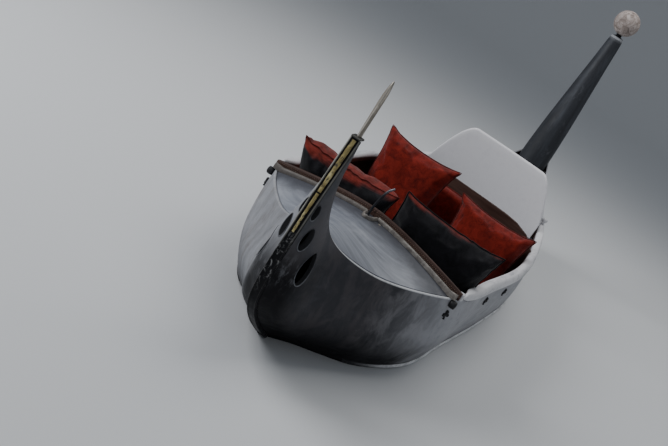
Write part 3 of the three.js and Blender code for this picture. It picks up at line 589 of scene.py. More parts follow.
# Cut faces inside the prow's holes, near black as painted shade with dusty specks, cast fittings with rubbed spots,
# and brown studs rubbed paler on top
HOLE_SHADE_SPECKS = (0.35, 9, 9, 12), (0.7, 24, 24, 28)
HOLE = speckled_look("hole_painted_shade", 0.3, (80.0, EVEN, 4.0, 0.6), (0.0003, 0.5), HOLE_SHADE_SPECKS, dull=True)
IRON_SPECKS = (0.4, 13, 13, 16), (0.62, 26, 26, 30), (0.8, 58, 58, 62)
IRON = speckled_look("iron_fitting", 0.35, (110.0, EVEN, 4.0, 0.65), (0.0004, 0.6), IRON_SPECKS, dull=True)
STUD_SPECKS = (0.3, 58, 38, 30), (0.6, 104, 80, 66), (0.8, 138, 118, 104)
STUD = speckled_look("stud_wood", 0.35, (150.0, EVEN, 3.0), (0.0003, 0.5), STUD_SPECKS)
WOOD_CROSS = wood_look("brown_wood_cross", (0.06, 1.0, 1.0), (46, 28, 22), (84, 62, 54))
WOOD_FLOOR = wood_look("brown_floor", (1.0, 0.06, 1.0), (40, 24, 18), (88, 56, 40), 0.095)
RED = cloth_look("red_cloth", (86, 12, 5), (148, 32, 15))
BLACK_CLOTH = cloth_look("black_cloth", (11, 11, 14), (31, 30, 35), ((80, 24, 16), (146, 46, 34)))
PIPING = cloth_look("dark_piping", (10, 9, 11), (24, 21, 24))
RED_PIPING = cloth_look("red_piping", (72, 15, 10), (122, 32, 22))
STRAKE = strake_look("strake_paint", (226, 226, 228), (24, 25, 29))
# Near black lines that are painted shadows, over the strake and under the gunwale caps
SHADOW_LINE = strake_look("painted_shadow_line", (12, 12, 15), (12, 12, 15))


# Mesh code


def mesh_of(name, points, faces, marks=None, cut=None):
    """Closed mesh, its faces outwards; marks are float attributes of its points, and cut is its flat pattern."""
    mesh = bpy.data.meshes.new(name)
    mesh.from_pydata(np.asarray(points).reshape(-1, 3).tolist(), [], faces)
    for key, values in (marks or {}).items():
        mesh.attributes.new(key, "FLOAT", "POINT").data.foreach_set("value", np.asarray(values, np.float32).ravel())
    if cut is not None:
        mesh.uv_layers.new(name="cut").data.foreach_set("uv", cut.astype(np.float32).ravel())
    work = bmesh.new()
    work.from_mesh(mesh)
    bmesh.ops.recalc_face_normals(work, faces=work.faces)
    work.to_mesh(mesh)
    work.free()
    return mesh


def linked(name, data):
    """New object of a mesh, light or camera, in the scene."""
    made = bpy.data.objects.new(name, data)
    scene.collection.objects.link(made)
    return made


def apply_modifiers(made):
    """Replace an object's mesh by what its modifiers make of it."""
    bpy.context.view_layer.update()
    evaluated = made.evaluated_get(bpy.context.evaluated_depsgraph_get())
    mesh = bpy.data.meshes.new_from_object(evaluated)
    made.modifiers.clear()
    made.data = mesh


def new_object(name, points, faces, material, slot, sharp=40.0, marks=None, cut=None, replaced=None):
    """Smooth-shaded piece on the root body, with sharp edges over an angle in degrees."""
    mesh = mesh_of(name, points, faces, marks, cut)
    mesh.materials.append(material)
    mesh.shade_smooth()
    if sharp:
        mesh.set_sharp_from_angle(angle=math.radians(sharp))
    made = linked(name, mesh)
    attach(made, "root")
    if replaced:
        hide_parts(replaced)
    return made


def ring_faces(rows, columns, loop=False):
    """Quads of a tube of rows rings with columns points each, closed at its ends unless it is a loop."""
    index = np.arange(rows * columns).reshape(rows, columns)
    around, ahead = np.roll(index, -1, 1), np.roll(index, -1, 0)
    quads = np.stack((index, around, np.roll(around, -1, 0), ahead), axis=-1)
    if loop:
        return quads.reshape(-1, 4).tolist()
    return quads[:-1].reshape(-1, 4).tolist() + [index[0].tolist(), index[-1].tolist()]


def solid(name, rings, material, slot, loop=False, **finish):
    """Closed piece over rings of points."""
    rings = np.asarray(rings)
    return new_object(name, rings, ring_faces(*rings.shape[:2], loop), material, slot, **finish)


def pair(name, rings, material, slot, loop=False, replaced=None, **finish):
    """One solid on each side of the centreline, named port and starboard."""
    for label, sign in BOTH_SIDES:
        mirrored, node = np.asarray(rings) * (sign, 1.0, 1.0), replaced and f"{replaced}_{label}"
        solid(f"{name}_{label}", mirrored, material, slot, loop, replaced=node, **finish)


def joined(bodies):
    """Points and faces of several bodies of rings as one mesh."""
    points, faces = [], []
    for rings in bodies:
        base = len(points)
        points.extend(rings.reshape(-1, 3))
        faces.extend([base + i for i in face] for face in ring_faces(*rings.shape[:2]))
    return np.array(points), faces


def rotation(*turns):
    """Product of rotations, each in degrees about an axis."""
    product = Matrix.Identity(3)
    for angle, axis in turns:
        product = product @ Matrix.Rotation(math.radians(angle), 3, axis)
    return product


def full_turn(count):
    return np.linspace(0, 2 * np.pi, count, endpoint=False)


def tube(path, radius, up, sides=10, closed=False):
    """Rings of a round bar: circles across a path's tangent; radius may vary, and up steers their first point."""
    path = np.asarray(path, float)
    if closed:
        tangent = unit(np.roll(path, -1, 0) - np.roll(path, 1, 0))
    else:
        tangent = unit(np.gradient(path, axis=0))
    across = unit(np.cross(tangent, np.broadcast_to(up, path.shape)))
    upward = np.cross(across, tangent)
    angle = full_turn(sides)[None, :, None]
    radius = np.broadcast_to(radius, len(path))[:, None, None]
    return path[:, None] + radius * (np.cos(angle) * across[:, None] + np.sin(angle) * upward[:, None])


def lathe(profile, centre, axis, sides=40):
    """Rings of a turned piece: profile rows are radius and height along the axis, in millimetres."""
    axis = unit(np.asarray(axis, float))
    first = unit(np.cross(axis, (0.3, 0.5, 0.81)))
    second = np.cross(axis, first)
    angle = full_turn(sides)[:, None]
    around = np.cos(angle) * first + np.sin(angle) * second
    radius, height = np.array(profile, float).T[..., None, None] * MM
    return centre + axis * height + np.maximum(radius, 0.02 * MM) * around


def rounded(profile, steps):
    """A profile's polyline made denser through a smooth curve."""
    points = np.array([(r, h, 0.0) for r, h in profile], float)
    return spline(points, np.linspace(0, 1, (len(profile) - 1) * steps + 1))[:, :2]


def signed_power(values, power):
    """Values raised to a power, with their signs kept."""
    return np.sign(values) * np.abs(values) ** power


def columns_at(*columns):
    """Points from columns of x, y and z, each an array or one value for all."""
    return np.stack(np.broadcast_arrays(*columns), axis=-1)


# Hull sides, with the oval holes of the prow cut through

# Each hole's distance aft of the prow, height, and half length and half height, in millimetres
PROW_HOLES = ((-60, 531, 7, 25), (-55, 449, 9.5, 38), (-15, 362, 26.5, 56.5))
HOLE_LEAN = math.radians(-8)


def hole_outline(place, up, long, tall, count, grow=0.0):
    """Oval of a hole in the centre plane as y and z, leaning forward at its top."""
    angle = full_turn(count)
    along, rise = (long * MM + grow) * np.cos(angle), (tall * MM + grow) * np.sin(angle)
    y = aft(place) + along * math.cos(HOLE_LEAN) - rise * math.sin(HOLE_LEAN)
    z = up * MM + along * math.sin(HOLE_LEAN) + rise * math.cos(HOLE_LEAN)
    return y, z


def cut_hole(hull, hole, sign):
    """Cut an oval hole through one side's skin and line it with the holes' painted shade."""
    y, z = hole_outline(*hole, 40)
    ends = [columns_at(sign * x, y, z) for x in (0.001, 0.16)]
    cutter = linked("cutter", mesh_of("cutter", ends, ring_faces(2, 40)))
    cutter.data.materials.append(HOLE)
    modifier = hull.modifiers.new("hole", "BOOLEAN")
    modifier.operation, modifier.solver, modifier.object = "DIFFERENCE", "EXACT", cutter
    modifier.material_mode = "TRANSFER"
    apply_modifiers(hull)
    bpy.data.objects.remove(cutter)


def make_hull_sides():
    """Skin from the stem to the stern: the side's grid, half a circle over the sheer as its rim, and the same grid
    moved inwards along its normals by the skin's thickness.
    """
    t = np.linspace(0, 1, 260)[:, None]
    s = np.linspace(0, 1, 42)[None, :]
    outer, normal = side(t, s), side_normal(t, s)
    inner = outer - normal * SKIN
    upward = unit(side(t, 1.0) - side(t, 0.985))[:, 0]
    middle, across = (outer[:, -1] + inner[:, -1]) / 2, normal[:, -1]
    radius = SKIN / 2
    arc = np.radians(np.linspace(0, 180, 7))[None, :, None]
    bend = np.cos(arc) * across[:, None] + np.sin(arc) * upward[:, None]
    rim = (middle - upward * radius)[:, None] + radius * bend
    rings = np.concatenate((outer[:, :-1], rim, inner[:, -2::-2]), axis=1)
    inside_mark, rim_mark = np.zeros(rings.shape[:2]), np.zeros(rings.shape[:2])
    inside_mark[:, s.size + 5 :] = 1.0
    rim_mark[:, s.size : s.size + 3] = 1.0
    rim_mark *= smoothstep(t, 0.06, 0.14) * (1 - smoothstep(t, 0.40, 0.42)) + 0.35 * smoothstep(t, 0.7, 0.75)
    marks = {"inner": inside_mark, "rim": rim_mark}
    for label, sign in BOTH_SIDES:
        hull = solid("hull_skin_" + label, rings * (sign, 1.0, 1.0), HULL, "hull_paint", sharp=None, marks=marks)
        for hole in PROW_HOLES:
            cut_hole(hull, hole, sign)
        hull.data.set_sharp_from_angle(angle=math.radians(42))
        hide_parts("hull_side_" + label)


def make_hole_rims():
    """Thin lips: round bars along the holes' ovals on the outer skin, half as thick again along their lower edge."""
    count, sides = 48, 6
    lower = smoothstep(-np.sin(full_turn(count)), -0.4, 1.0)
    marks = {"pale": np.repeat(lower[:, None], sides, 1)}
    for number, hole in enumerate(PROW_HOLES):
        y, z = hole_outline(*hole, count, 0.0008)
        t, s = place_on_side(y, z, 0.05)
        path, normal = side(t, s), side_normal(t, s)
        rings = tube(path + normal * 0.0003, 0.0012 + 0.0006 * lower, normal, sides, closed=True)
        pair(f"hole_lip_{number + 1}", rings, LIP, "hull_paint", loop=True, sharp=80, marks=marks)


# Stem, gilded strip, stem head and spike


def bar_rings(end, s, section):
    """Rings along the stem or stern line; section rows are distance across and out, in millimetres."""
    here = side(end, s) * (0.0, 1.0, 1.0)
    tangent = side(end, np.minimum(s + 0.01, 1.0)) - side(end, np.maximum(s - 0.01, 0.0))
    outward = unit(np.stack((np.zeros_like(s), -tangent[:, 2], tangent[:, 1]), axis=1)) * (1.0 if end == 0 else -1.0)
    section = np.broadcast_to(np.asarray(section) * MM, (len(s),) + np.shape(section)[-2:])
    return here[:, None] + section[..., :1] * (1.0, 0.0, 0.0) + section[..., 1:] * outward[:, None]


def make_stem():
    """Black stem: two beaded edges with a channel between them, with a painted highlight along the beads.

    One section is carried up the stem line and flares by a tenth at its top. The stern's bar has the same section.
    """
    half = [
        (15.5, 0.7), (15.5, 9.0), (15.2, 11.2), (14.2, 12.5), (13.0, 12.7),
        (11.8, 12.2), (11.0, 10.9), (9.8, 10.3), (6.0, 10.3), (2.0, 10.3),
    ]
    # Weights of the painted highlight across the section, strongest on the beads; fainter on the stern bar
    wear = [0.0, 0.3, 0.9, 1.0, 1.0, 0.6, 0.1, 0.0, 0.0, 0.0]
    section = np.array(half + [(-x, out) for x, out in reversed(half)])
    s = np.linspace(0.0, 1.0, 150)
    edge = np.broadcast_to(np.array([0.35 * w for w in wear] + wear[::-1]), (len(s), len(section)))
    flare = 1.0 + 0.1 * smoothstep(s, 0.6, 1.0)
    flared = section[None] * columns_at(flare, 1.0)[:, None]
    solid("stem_bar", bar_rings(0, s, flared), BLACK, "black_paint", marks={"edge": edge}, replaced="stem_post")
    rings = bar_rings(1, s, section * (0.97, 1.0))
    solid("stern_bar", rings, SLATE, "slate_paint", marks={"edge": edge * 0.4}, replaced="stern_stem")


def make_gilding():
    """Raised gilded strip in two lengths that meet at a joint.

    Its six-point section is carried up the stem, widens smoothly to the head and wavers by small sines of the place.
    """
    shares = np.linspace(0, 1, 400)
    foot, joint = np.interp((0.455, 0.585), side(0.0, shares)[:, 2], shares)
    section = ((1.0, 0.0), (1.0, 0.75), (0.6, 1.0), (-0.6, 1.0), (-1.0, 0.75), (-1.0, 0.0))
    for label, start, end, replaced in (
        ("low", foot, joint - 0.002, None),
        ("high", joint + 0.002, 0.996, "stem_gold_strip"),
    ):
        s = np.linspace(start, end, 70)
        width = 3.6 + 2.9 * smoothstep(s, foot, 0.95) + 0.25 * np.sin(s * 190.0) + 0.15 * np.sin(s * 410.0 + 1.0)
        rise = 13.9 + 0.35 * np.sin(s * 260.0 + 0.6)
        rows = [columns_at(width * a, rise - (1 - b) * 3.0 if b else 10.4) for a, b in section]
        rings = bar_rings(0, s, np.stack(rows, axis=1))
        solid("gilding_" + label, rings, GOLD, "gold_leaf", sharp=55, replaced=replaced)


# Up, half width, fore edge and aft edge of the spike, in millimetres from the stem head
SPIKE = (
    (0, 6.6, -8, 20), (20, 7.0, -6, 17), (110, 8.4, 3, 18), (138, 8.2, 7, 19),
    (155, 6.6, 9, 20), (166, 5.2, 11, 20), (175, 3.4, 14, 21), (180, 1.4, 17, 21),
)
SPIKE_SECTION = (
    (0.0, -1.0), (0.45, -0.72), (0.85, -0.25), (1.0, 0.1), (0.9, 0.5), (0.5, 0.85),
    (0.0, 1.0), (-0.5, 0.85), (-0.9, 0.5), (-1.0, 0.1), (-0.85, -0.25), (-0.45, -0.72),
)


def make_head_and_spike():
    """Cap on the stem head, and the thin spike with a raised rib on it.

    The cap is a rectangle with quarter circles at its corners, drawn in at each level by its inset. The spike is a
    twelve-point section whose half width and fore and aft edges are read from the table at each height.
    """
    foot = side(0.0, 1.0) * (0.0, 1.0, 1.0)
    half_wide, half_long, corner, ahead = 13.2, 14.0, 3.0, 3.0
    side_x, side_y = np.array(((1, 1), (-1, 1), (-1, -1), (1, -1))).T[..., None]
    turn = np.radians(np.arange(0, 360, 90)[:, None] + np.linspace(0, 90, 6))
    x = (side_x * half_wide + corner * np.cos(turn)).ravel() * MM
    y = (ahead + side_y * half_long + corner * np.sin(turn)).ravel() * MM
    levels = ((2.2, 0.7, 0.0), (3.0, 0.0, 0.1), (7.0, 0.0, 0.3), (8.0, 0.6, 0.4), (8.3, 1.6, 0.1))
    rings = [
        columns_at(x * (1 - inset / 15), foot[1] + y * (1 - inset / 15), foot[2] + rise * MM)
        for rise, inset, _ in levels
    ]
    # The levels' last column weights the painted highlight along the cap's rim
    edge = [[wear] * len(x) for _, _, wear in levels]
    solid("stem_cap", rings, BLACK, "black_paint", marks={"edge": edge}, replaced="stem_head")
    table = np.array(SPIKE, float)
    up = np.concatenate((np.linspace(0, 150, 40), np.linspace(153, 180, 20)))
    half, fore, back = (np.interp(up, table[:, 0], table[:, k]) for k in (1, 2, 3))
    middle, reach, height = (fore + back) / 2, (back - fore) / 2, foot[2] + (8.4 + up) * MM
    rings = [columns_at(half * x * MM, foot[1] + (middle + reach * y) * MM, height) for x, y in SPIKE_SECTION]
    solid("spike", np.stack(rings, axis=1), STEEL, "bright_steel", sharp=60, replaced="prow_blade")


# Foredeck and its aft edge


def make_foredeck():
    """Two crowned panels between ridge and sheer: deck_top over a grid, and the same grid a thickness lower."""
    thick = 0.008
    y = np.linspace(aft(83), aft(639.6), 70)[:, None]
    x = np.maximum(np.linspace(0, 1, 30) * (sheer_at(y)[0] - SKIN - 0.0016), 0.0001)
    top = columns_at(x, y, deck_top(x, y))
    rings = np.concatenate((top, (top - (0.0, 0.0, thick))[:, ::-1]), axis=1)
    pair("foredeck_skin", rings, DECK, "deck_paint", replaced="foredeck")


def strip_section(half, high):
    """Rounded bar section as distances across and up from its foot: half cos^0.7 and high sin^0.8."""
    angle = np.radians(np.linspace(0, 180, 9))
    return list(zip(half * signed_power(np.cos(angle), 0.7), high * signed_power(np.sin(angle), 0.8)))


def over_sheer(x, distance):
    """Height a coaming piece rests at: just over the deck, or over the sheer where it passes the hull's skin."""
    y = aft(distance)
    breadth, height = sheer_at(y)
    return np.maximum(deck_top(x, y), np.where(x > breadth - 0.02, height, 0.0)) + SEAT_GAP


COAMING_PROUD, COAMING_LIFT = 0.0058, 0.009


def coaming_lift(x, width):
    """Rise of the coaming towards its end, by the share of its width^3."""
    return COAMING_LIFT * (x / width) ** 3


def make_coaming():
    """Beaded strip along the deck's aft edge, and the brown board with two staggered rows of domed studs behind it.

    The strip is strip_section carried outboard, swelling by a sine at each bead. The board is a section with
    bevelled corners, and its top follows the deck.
    """
    bead, high = 0.0105, 0.0125
    width = sheer_at(aft(636))[0] + COAMING_PROUD
    x = np.linspace(0.0245, width, 240)
    ripple = 1.0 + 0.025 * np.sin(x / bead * 2 * np.pi)
    rings = []
    for across, up in strip_section(bead, high):
        y = aft(625) + across * (0.94 + 0.06 * ripple)
        rings.append(columns_at(x, y, over_sheer(x, 614) + up * (ripple + coaming_lift(x, width) / high)))
    pair("edge_strip", np.stack(rings, axis=1), STRIP, "pale_trim", sharp=70, replaced="coaming_strip")
    width = sheer_at(aft(658))[0] + COAMING_PROUD
    skin = sheer_at(DECK_AFT)[0] - SKIN - 0.0014
    x = np.sort(np.concatenate((np.linspace(0.0006, width, 70), (skin, skin + 0.0002))))
    top = deck_top(x, DECK_AFT)
    foot = np.where(x > skin + 0.0001, over_sheer(x, 640), top - 0.0395)
    section = (
        (640.6, None), (640.6, 22.0), (641.6, 25.5), (644.0, 27.6),
        (654.4, 27.6), (656.8, 25.5), (657.8, 22.0), (657.8, None),
    )
    lift = coaming_lift(x, width)
    rings = [columns_at(x, aft(place), foot if up is None else top + lift + up * MM) for place, up in section]
    pair("brown_board", np.stack(rings, axis=1), WOOD_CROSS, "brown_wood", replaced="coaming_board")
    dome, pitch = ((2.3, 0), (1.9, 1.2), (1.1, 1.9), (0, 2.2)), 0.0078
    studs = []
    for sign in (1.0, -1.0):
        for place in np.arange(0.006, width - 0.004, pitch):
            for shift, up in ((0.0, 0.0185), (pitch / 2, 0.0118)):
                spot = place + shift
                height = float(deck_top(spot, DECK_AFT)) + coaming_lift(spot, width) + up
                studs.append(lathe(dome, (sign * spot, aft(640.7), height), (0, -1, 0), 8))
    new_object("board_studs", *joined(studs), STUD, "brown_wood")


def make_ridge_fittings():
    """Loop round the rod's foot, the bent rod with its socket, and the small screw beside it.

    The loop is strip_section carried along half an ellipse on the deck. The rod is a round bar along a smooth curve,
    thinner by the cube of the way to its tip. The socket and the screw are turned profiles.
    """
    angle = np.linspace(-math.pi / 2, math.pi / 2, 60)
    x, y = 0.022 * np.sin(angle), aft(548) + 0.0656 * (1 - np.cos(angle))
    tangent = unit(np.stack((np.gradient(x), np.gradient(y)), axis=1))
    rings = []
    for across, up in strip_section(0.0052, 0.0122):
        px, py = x + tangent[:, 1] * across, y - tangent[:, 0] * across
        rings.append(columns_at(px, py, deck_top(px, py) + SEAT_GAP + up))
    solid("loop_strip", np.stack(rings, axis=1), STRIP, "pale_trim", sharp=70, replaced="ridge_loop")
    place = aft(562)
    foot = float(deck_top(0.0, place)) + SEAT_GAP
    route = np.array([(0, 562, 0), (1, 562, 40), (8, 564, 90), (17, 567, 119), (31, 570, 138)], float) * MM
    path = spline(route + (0.0, -MIDSHIP, foot), np.linspace(0, 1, 60))
    radius = 0.0048 - 0.0012 * np.linspace(0, 1, 60) ** 3
    solid("rod", tube(path, radius, (0.0, 1.0, 0.0), 14), ROD, "bright_steel", sharp=50, replaced="bent_rod")
    profile = ((0, 0), (8.8, 0), (9, 4), (7.4, 9), (5.6, 12), (4.2, 13.5))
    rings = lathe(rounded(profile, 4), (0.0, place, foot - 0.0004), (0, 0, 1), 24)
    # A tenth of the edge mark: a faint painted highlight over the whole socket
    solid("rod_socket", rings, BLACK, "black_paint", marks={"edge": np.full(rings.shape[:2], 0.1)})
    spot = (0.046, aft(597))
    profile = ((0, -1), (5.2, -1), (5.2, 0.8), (4.4, 2.2), (2.5, 3), (0, 3.2))
    rings = lathe(profile, (*spot, float(deck_top(*spot)) + 0.0002), (0.02, 0.03, 1.0), 20)
    solid("deck_screw", rings, STEEL, "bright_steel", sharp=60)


# Gunwales, knobs, strakes and marks

GUNWALE_FROM, GUNWALE_TO = 0.412, 0.765


def gunwale_base(t):
    """Outer edge of the sheer, the direction across it and the height a gunwale rests at."""
    outer, normal = side(t, 1.0), side_normal(t, 1.0)
    inner = outer - normal * SKIN
    across = unit(normal * (1.0, 1.0, 0.0))
    return outer, across, np.maximum(outer[:, 2], inner[:, 2]) + SEAT_GAP


def make_gunwales():
    """Pale caps over the sheer, slim at the foredeck's corner and full amidships, brown on their inboard face, partly
    as painted shade.

    The section is half cos^0.62 across and high sin^0.62 up, rounded off at both ends.
    """
    t = np.linspace(GUNWALE_FROM, GUNWALE_TO, 150)
    outer, across, base = gunwale_base(t)
    along = (t - t[0]) / (t[-1] - t[0])
    high = 0.025 + 0.009 * smoothstep(along, 0.0, 0.2)
    high = high * (1 + 0.005 * np.sin(along * 43.0) + 0.004 * np.sin(along * 101.0 + 1))
    inboard = 0.012 + 0.026 * smoothstep(along, 0.0, 0.07)
    outboard, power = 0.006, 0.62
    half = (inboard + outboard) / 2 * (1 - 0.3 * smoothstep(along, 0.86, 1.0))
    rounding = np.sqrt(np.clip(1 - (1 - np.minimum(along * 220, (1 - along) * 60)).clip(0, 1) ** 2, 0.05, 1))
    angle = np.radians(np.linspace(0, 180, 19))
    out, up = signed_power(np.cos(angle), power), signed_power(np.sin(angle), power)
    reach = ((outboard - inboard) / 2)[:, None] + (half * rounding)[:, None] * out
    spot = outer[:, None] + across[:, None] * reach[..., None]
    rings = columns_at(spot[..., 0], spot[..., 1], base[:, None] + (high * rounding)[:, None] * up)
    marks = {"inner": np.broadcast_to(smoothstep(-out, 0.86, 0.97), rings.shape[:2])}
    pair("gunwale_cap", rings, TRIM, "pale_trim", sharp=70, marks=marks, replaced="gunwale")
    # Dark bead under the cap's outer edge: a painted shadow of the cap
    path = outer[2:-2] + across[2:-2] * 0.0006
    path[:, 2] = base[2:-2] - 0.0034
    pair("gunwale_shadow_line", tube(path, 0.0024, (0.0, 0.0, 1.0), 8), SHADOW_LINE, "black_paint", sharp=None)


def make_knobs():
    """Turned knobs at the gunwales' ends and at the foredeck's corners, with the pale blocks beside them.

    A block is a square whose corners are rounded by the power 0.6 of sine and cosine, drawn in towards its top.
    """
    outer, across, base = (row[0] for row in gunwale_base(np.array((GUNWALE_TO - 0.012,))))
    centre = outer - across * 0.020
    profile = ((0, 0), (9, 0), (8.5, 8), (15.5, 16), (15.5, 26), (9, 34), (0, 36))
    rings = lathe(rounded(profile, 5), (centre[0], centre[1], base + 0.0353), (0, 0, 1), 28)
    pair("end_knob", rings, TRIM, "pale_trim", sharp=60, replaced="gunwale_knob")
    breadth, height = sheer_at(aft(622))
    profile = ((0, 0), (10.8, 0), (13.8, 4), (14.8, 17), (12.8, 22.5), (0, 25.6))
    rings = lathe(rounded(profile, 5), (breadth + 0.0009, aft(622), height - 0.0155), (1, 0, 0), 32)
    pair("deck_knob", rings, IRON, "black_paint", sharp=60, replaced="corner_knob")
    across, along = (signed_power(wave(full_turn(24)), 0.6) for wave in (np.cos, np.sin))
    breadth, foot = sheer_at(aft(672))
    rings = [
        columns_at(breadth - 0.0030 + size * 0.0125 * across, aft(672) + size * 0.0130 * along, foot + 0.0008 + up)
        for up, size in ((0.0, 0.9), (0.002, 0.98), (0.019, 1.0), (0.0235, 0.93), (0.0255, 0.74))
    ]
    pair("corner_block", rings, TRIM, "pale_trim", sharp=45)


def make_strakes():
    """Thin pale strake above the waterline, fading into dark paint forward, with a dark line over it that is its
    painted shadow.

    Each is a section between two heights of the side, pushed out along the normals and thinner where it fades.
    """
    t = np.linspace(0.27, 0.9, 220)
    fade = smoothstep(t, 0.29, 0.40) * (1 - smoothstep(t, 0.82, 0.9))
    marks = {"fade": np.repeat(fade[:, None], 6, 1)}
    section = ((1.0, 0.0), (0.9, 0.75), (0.6, 1.0), (0.4, 1.0), (0.1, 0.75), (0.0, 0.0))
    for name, low, high, proud, material, replaced in (
        ("strake", 0.0085, 0.0215, 0.0085, STRAKE, "rub_strake"),
        ("strake_shadow_line", 0.0228, 0.0282, 0.0013, SHADOW_LINE, None),
    ):
        rings = []
        for share, out in section:
            s = share_at(t, high * share + low * (1 - share))
            reach = proud * out * (0.45 + 0.55 * fade) if out else SEAT_GAP + 0 * fade
            rings.append(side(t, s) + side_normal(t, s) * reach[:, None])
        pair(name, np.stack(rings, axis=1), material, "pale_trim", sharp=70, marks=marks, replaced=replaced)


# Each mark's number, distance aft of the prow and drop below the sheer; each lobe's place, radius and height. In mm.
MARKS = ((1, 634, 62), (2, 1120, 46), (3, 1422, 44))
MARK_LOBES = ((0.0, 10.0, 7.4, 8.6), (-11.0, -2.0, 6.9, 8.4), (11.0, -2.0, 6.9, 8.4), (0.0, 0.0, 6.6, 6.0))


def make_club_marks():
    """Black trefoil bosses below the gunwales: domes and a stem, turned profiles along the hull's normal and down."""
    for number, place, drop in MARKS:
        height = sheer_at(aft(place))[1] - drop * MM
        centre_t, centre_s = place_on_side(np.array([aft(place)]), np.array([height]), 0.3)
        centre, normal = side(centre_t, centre_s)[0], side_normal(centre_t, centre_s)[0]
        upward = unit(np.array((0.0, 0.0, 1.0)) - normal * normal[2])
        across = np.cross(upward, normal)
        bodies = []
        for out, up, radius, tall in MARK_LOBES:
            spot = centre + (across * out + upward * up) * MM
            t, s = place_on_side(spot[1:2], spot[2:3], centre_t[0])
            shoulder = ((0.86 * radius, 0.64 * tall), (0.5 * radius, 0.93 * tall), (0.0, tall))
            profile = ((0, -2), (radius, -2), (radius, 2)) + shoulder
            bodies.append(lathe(rounded(profile, 3), side(t, s)[0], normal, 24))
        profile = ((0, 0), (3.4, 0.5), (2.4, 10), (4.2, 18.5), (0, 19.4))
        bodies.append(lathe(rounded(profile, 3), centre + normal * 0.0022, -upward, 16))
        points, faces = joined(bodies)
        for label, sign in BOTH_SIDES:
            name, replaced = f"club_{number}_{label}", f"club_mark_{number}_{label}"
            new_object(name, points * (sign, 1.0, 1.0), faces, IRON, "black_paint", sharp=50, replaced=replaced)


# Backrest shell and stern post


def make_backrest():
    """Curved pale shell, level between its shoulders, with a rounded edge and a bead along it.

    Beyond the shoulders its top falls as the share^1.88 of the way to its ends, which curve forward by the square.
    """
    half, shoulder, beyond, middle_top, fall = 0.338, 0.2, 0.138, 0.628, 0.630 - 0.398
    thick, foot, radius, forward = 0.0248, -0.0465, 0.0124, 0.040
    x = (half - 0.002) * np.sin(np.linspace(-1, 1, 90) * math.pi / 2)
    share = np.maximum(np.abs(x) - shoulder, 0.0) / beyond
    top = middle_top - fall * share**1.88
    front = aft(2456) - forward * (x / half) ** 2 + SEAT_GAP
    levels = [foot + (top - radius - foot) * up for up in np.linspace(0, 1, 24)]
    rim = [(radius * (1 - math.cos(a)), radius * math.sin(a)) for a in np.radians((25, 50, 75, 105, 130, 155))]
    rings = [columns_at(x, front, level) for level in levels]
    rings += [columns_at(x, front + back, top - radius + up) for back, up in rim]
    rings += [columns_at(x, front + thick, level) for level in levels[::-1]]
    shape = np.stack(rings, axis=1)
    shape[..., 0] = inside_skin(shape, 0.0185)
    solid("backrest", shape, SHELL, "pale_shell", sharp=50, replaced="backrest_shell")
    path = columns_at(x, front + 0.004, top - 0.030)[2:-2]
    solid("backrest_bead", tube(path, 0.0032, (0, 1, 0), 8), SHELL, "pale_shell", sharp=None)


# Height and radius of the stern post, in millimetres, and where it stands
POST = ((330.3, 82), (520, 88), (760, 80), (1000, 65), (1200, 51), (1370, 39), (1385, 34))
POST_FOOT, POST_HEAD, POST_PLACE, POST_RAKE = 0.330, 1.385, aft(3380), 55 / 1055


def make_stern_post():
    """Tapered round post with a bright rim, its neck, and the pitted ball.

    The post's radius is a smooth curve through POST with slight sines of angle and height. The neck is a turned
    profile, and the ball's radius varies by sines of both angles, which make shallow dents.
    """
    up = np.concatenate((np.linspace(330.3, 1368, 70), np.linspace(1371, 1385, 8)))
    smooth = spline(np.array([(height, radius, 0.0) for height, radius in POST]), np.linspace(0, 1, 400))
    radius = (np.interp(up, smooth[:, 0], smooth[:, 1]) * MM * 0.998)[:, None]
    angle = full_turn(56)
    centre = POST_PLACE + (up * MM - POST_FOOT) * POST_RAKE
    wobble = 1 + 0.004 * np.sin(3 * angle[None] + up[:, None] * 0.004) + 0.003 * np.sin(up[:, None] * 0.011)
    radius = radius * wobble
    rings = columns_at(radius * np.cos(angle), centre[:, None] + radius * np.sin(angle), up[:, None] * MM)
    edge = np.repeat((smoothstep(up, 1366, 1372) * (1 - smoothstep(up, 1380, 1384)))[:, None], len(angle), 1)
    solid("post", rings, SLATE, "slate_paint", marks={"edge": edge}, replaced="stern_post")
    head = POST_PLACE + (POST_HEAD - POST_FOOT) * POST_RAKE
    profile = ((0, 0), (24, 0), (23.8, 3), (16.5, 6), (16.8, 12), (16.8, 15), (0, 15))
    rings = lathe(rounded(profile, 4), (0, head, POST_HEAD + 0.0003), (0, 0, 1), 36)
    solid("neck", rings, BLACK, "black_paint", replaced="finial_neck")
    ball_radius, seat_radius, flat_radius, neck_high = 0.0755, 0.076, 0.018, 0.015
    flat = math.asin(flat_radius / seat_radius)
    centre_z = POST_HEAD + neck_high + SEAT_GAP + seat_radius * math.cos(flat)
    row = np.linspace(flat, math.pi - 0.02, 56)[:, None]
    dents = 0.006 * np.sin(5 * angle + 3 * row) * np.sin(4 * row) + 0.004 * np.sin(11 * angle - 7 * row)
    reach = ball_radius * (1 + dents - 0.006)
    across, height = reach * np.sin(row), centre_z - reach * np.cos(row)
    rings = columns_at(across * np.cos(angle), head + across * np.sin(angle), height)
    solid("ball", rings, STONE, "stone", sharp=None, replaced="ball_finial")


# Soft goods

Sheet = namedtuple("Sheet", "points quads cut loop reverse")


def corners(grid):
    """Values of a grid at the four corners of each of its cells."""
    return np.stack((grid[:-1, :-1], grid[1:, :-1], grid[1:, 1:], grid[:-1, 1:]), axis=-1)


